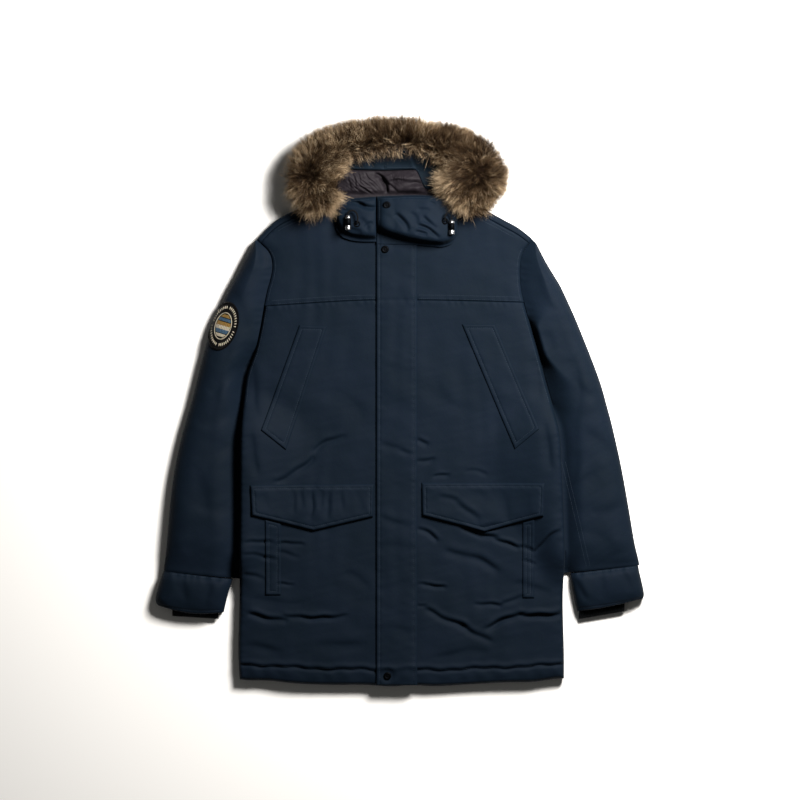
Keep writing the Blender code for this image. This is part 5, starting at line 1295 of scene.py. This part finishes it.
# Reach and shade of each lock: the arc behind the face is short and dark, with a paler parting
pale, arc, left_end = bell(at_x - 78, 15) * bell(at_y - 386, 15), at_y > 408, at_x > 70
reach = 27 * (1 + 0.14 * rng.normal(0, 1, LOCKS) + 0.08 * wavy(4.0))
reach *= (1 - 0.2 * crowned + 0.2 * pale) * (1 - 0.3 * over - 0.42 * arc * over)
# Each lock's value is its dye plus painted shade: darker round the crowns, as the shade of the parted hairs
dye_and_painted_shade = 0.46 + 0.19 * rng.normal(0, 1, LOCKS) + 0.2 * wavy(2.0) - 0.2 * crowned
dye_and_painted_shade += 0.25 * (np.abs(np.cos(angle)) - 0.65) + 0.3 * pale - 0.06 * rim
# On the arc behind the face, locks on the face side are painted darker, as shade against the lamp at the
# upper right
dye_and_painted_shade += arc * (0.2 * bell(sweep, 0.6) - 0.1 * np.clip(np.cos(angle), 0, 1) - 0.36 * over)
dye_and_painted_shade += 0.05 * (at_x < -90) - 0.14 * ease((at_y - 400) / 20)
dye_and_painted_shade += left_end * (0.12 * crowned - 0.09 + 0.12 * wavy(6.0))

# Hairs: those of a lock start 5 mm apart and close towards its tip, each a bent tapering ribbon
every = np.repeat(np.arange(LOCKS), HAIRS)
count = len(every)
spread = rng.normal(0, 1, (count, 3))
hair_reach = (reach[every] * (1 + 0.16 * rng.normal(0, 1, count)))[:, None]
start = root[every] + 2.6 * spread
end = root[every] + heading[every] * hair_reach + 1.9 * spread + rng.normal(0, 1.2, (count, 3))
bend = start + (0.75 * normal + 0.25 * heading)[every] * 0.5 * hair_reach
end[:, 2] -= 2.0
across = unit(np.cross(end - start, rng.normal(0, 1, (count, 3))))
share, half = np.array([[0.15, 0.6, 0.15, 0.6, 1.0], [-1.0, -0.9, 1.0, 0.9, 0.0]])[:, None, :, None]
points = (1 - share) ** 2 * start[:, None] + 2 * share * (1 - share) * bend[:, None]
points = points + share ** 2 * end[:, None] + across[:, None] * HAIR_HALF * half
points[..., 2] = np.maximum(points[..., 2], 0.5)
points[..., 2] -= 0.4 * np.maximum(points[..., 2] - 86, 0)
shade = np.clip(dye_and_painted_shade[every] + 0.12 * rng.normal(0, 1, count), 0, 1)
uv = points_on(share[0, :, 0], shade[:, None])
for part, chosen in enumerate(np.array_split(np.argsort(spot[every]), 4)):
    base = np.arange(len(chosen))[:, None] * 5
    hairs = make_piece(f"fur_hair_{part + 1}", points[chosen].reshape(-1, 3),
                       [*(base + [0, 2, 3, 1]), *(base + [1, 3, 4])], hair, uv[chosen].reshape(-1, 2))


# ---------------------------------------------------------------------------------------------
# Badge: a round embroidered patch sewn on the wearer's right sleeve, where the arm's fold bends it.
# Black twill inside a whipped border, with a ring of cream bars round plain bands in three colours.

BADGE_AT, BADGE_HALF, BADGE_LEAN, BADGE_THICK = (-308.0, 128.0), (25.5, 43.5), math.radians(17), 1.5
FOLD_LINE = np.array(ARMHOLE_ROWS[RIGHT], float)[::-1]


def on_patch(a, b, up=BADGE_THICK + 0.1):
    """Points at a height over the patch's inner face, from places on a unit disc: scaled to its oval,
    leant over, dropped on the sleeve, and past the arm's fold bent down round it."""
    a, b = np.broadcast_arrays(a, b)
    across, along = BADGE_HALF[0] * a, BADGE_HALF[1] * b
    x = BADGE_AT[0] + across * math.cos(BADGE_LEAN) + along * math.sin(BADGE_LEAN)
    y = BADGE_AT[1] - across * math.sin(BADGE_LEAN) + along * math.cos(BADGE_LEAN)
    fold = through(FOLD_LINE[:, 2], FOLD_LINE[:, 1], y) + 1.6
    past, x = np.maximum(fold - x, 0), np.maximum(x, fold)
    z = drop(sleeves[RIGHT], x, y) + GAP
    tilt = np.clip(past / 3, 0, 1) * math.pi / 2
    return np.stack([x - (1.4 + up) * np.sin(tilt), y, z - past + up * np.cos(tilt)], -1)


def satin_thread(name, code, gloss=0.3):
    """Rayon embroidery thread in one colour: glossy satin stitches, 0.45 mm apart, drawn as a fine
    ripple."""
    material, add, shader = new_material(name)
    place = add("TexCoord", {}, "Object")
    ripple = add("TexWave", {"Scale": WAVE / 0.0009, "bands_direction": "Y", "Distortion": 0.8,
                             "Vector": place}, "Fac")
    shades = add("TexNoise", {"Scale": 300.0, "Vector": place}, "Color")
    tint = add("Mix", {"data_type": "RGBA", "blend_type": "MULTIPLY", 0: 0.35, 6: code, 7: shades}, 2)
    bump = add("Bump", {"Strength": 0.6, "Distance": 0.0003, "Height": ripple})
    add(shader, {"Base Color": tint, "Roughness": 0.5, "Specular IOR Level": gloss, "Normal": bump})
    return material


black_thread = satin_thread("black_cotton_twill", "#020203", 0.06)
threads = {"cream": satin_thread("cream_rayon_thread", "#ada592"),
           "ochre": satin_thread("ochre_rayon_thread", "#836732"),
           "blue": satin_thread("blue_rayon_thread", "#36526a")}
turn, radius = np.meshgrid(np.arange(96) * math.pi / 48,
                           [1.0, 1.0, 0.985, 0.94, 0.8, 0.65, 0.5, 0.35, 0.2, 0.08])
up = np.array([0.0, 0.7] + 8 * [BADGE_THICK])[:, None]
rings = on_patch(radius * np.cos(turn), radius * np.sin(turn), up)
poles = on_patch(np.zeros(2), np.zeros(2), np.array([0.0, BADGE_THICK]))
patch = capped("badge_twill", rings, poles, black_thread)
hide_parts("sleeve_badge")


def embroider(kind, lines, material, pitch, length, half, sunk=0.12):
    """Rows of embroidery sewn on the patch."""
    piece = sew(f"badge_{kind}", patch, lines, material, pitch, length, half, sunk)


# Whipped border: a loop of thread over the edge at every 1.5 mm; inside it cream bars in a ring
out = np.array([0.915, 1.005])
border = [on_patch(out * math.cos(t), out * math.sin(t), BADGE_THICK)
          for t in np.arange(170) * 2 * math.pi / 170]
embroider("border", border, black_thread, 3.1, 3.6, 0.8)
out = np.array([0.7, 0.87])
bars = [on_patch(out * math.cos(t * math.pi / 22), out * math.sin(t * math.pi / 22))
        for t in range(44) if t % 11]
embroider("bars", bars, threads["cream"], 6.0, 5.6, 0.95, 0.2)
circle = np.linspace(0, 2 * math.pi, 181)
embroider("rim", [on_patch(0.54 * np.cos(circle), 0.54 * np.sin(circle))], threads["cream"], 1.6, 2.2, 0.75)
# The middle: rows of satin stitch in bands of blue, ochre and cream, parted by the black ground
bands = {"cream": [], "ochre": [], "blue": []}
for level in np.arange(-0.45, 0.46, 0.03):
    reach = math.sqrt(0.49 ** 2 - level ** 2)
    band = int((level + 0.46) / 0.155)
    if (level + 0.46) % 0.155 > 0.02:
        tint = ("cream", "blue", "cream", "ochre", "blue", "ochre")[min(band, 5)]
        bands[tint].append(on_patch(np.linspace(-reach, reach, 12), level))
for tint, lines in bands.items():
    embroider(f"band_{tint}", lines, threads[tint], 3.0, 3.4, 0.66)


# ---------------------------------------------------------------------------------------------
# Snaps and eyelets: pressed brass caps and rings with a dark nickel plate, riveted through the cloth.

SNAP_PROFILE = ((0, -0.6), (6.2, -0.6), (6.5, -0.3), (6.5, 0.9), (6.3, 1.5), (5.6, 2.1), (4.6, 2.4),
                (3.9, 2.3), (3.4, 1.95), (2.4, 1.9), (1.4, 2.05), (0.6, 2.1), (0, 2.1))
for name in ("snap_collar", "snap_neck", "snap_hem"):
    low, high = node_box(name)
    centre = np.array([(low[0] + high[0]) / 2, (low[1] + high[1]) / 2, low[2]])
    snap = lathed(f"{name}_cap", SNAP_PROFILE, centre, (0, 0, 1), 40, gunmetal)
    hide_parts(name)
for side, label in SIDES:
    low, high = node_box(f"eyelet_{label}")
    turn, wire = np.meshgrid(np.arange(40) * math.pi / 20, np.arange(12) * math.pi / 6, indexing="ij")
    out = 4.5 + 1.2 * np.cos(wire)
    ring = points_on(out * np.cos(turn), out * np.sin(turn), 1.2 * np.sin(wire)) + (low + high) / 2
    faces = quads(40, 12, True, (1, 1))
    eyelet = make_piece(f"eyelet_{label}_ring", ring.reshape(-1, 3), faces, gunmetal)
    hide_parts(f"eyelet_{label}")
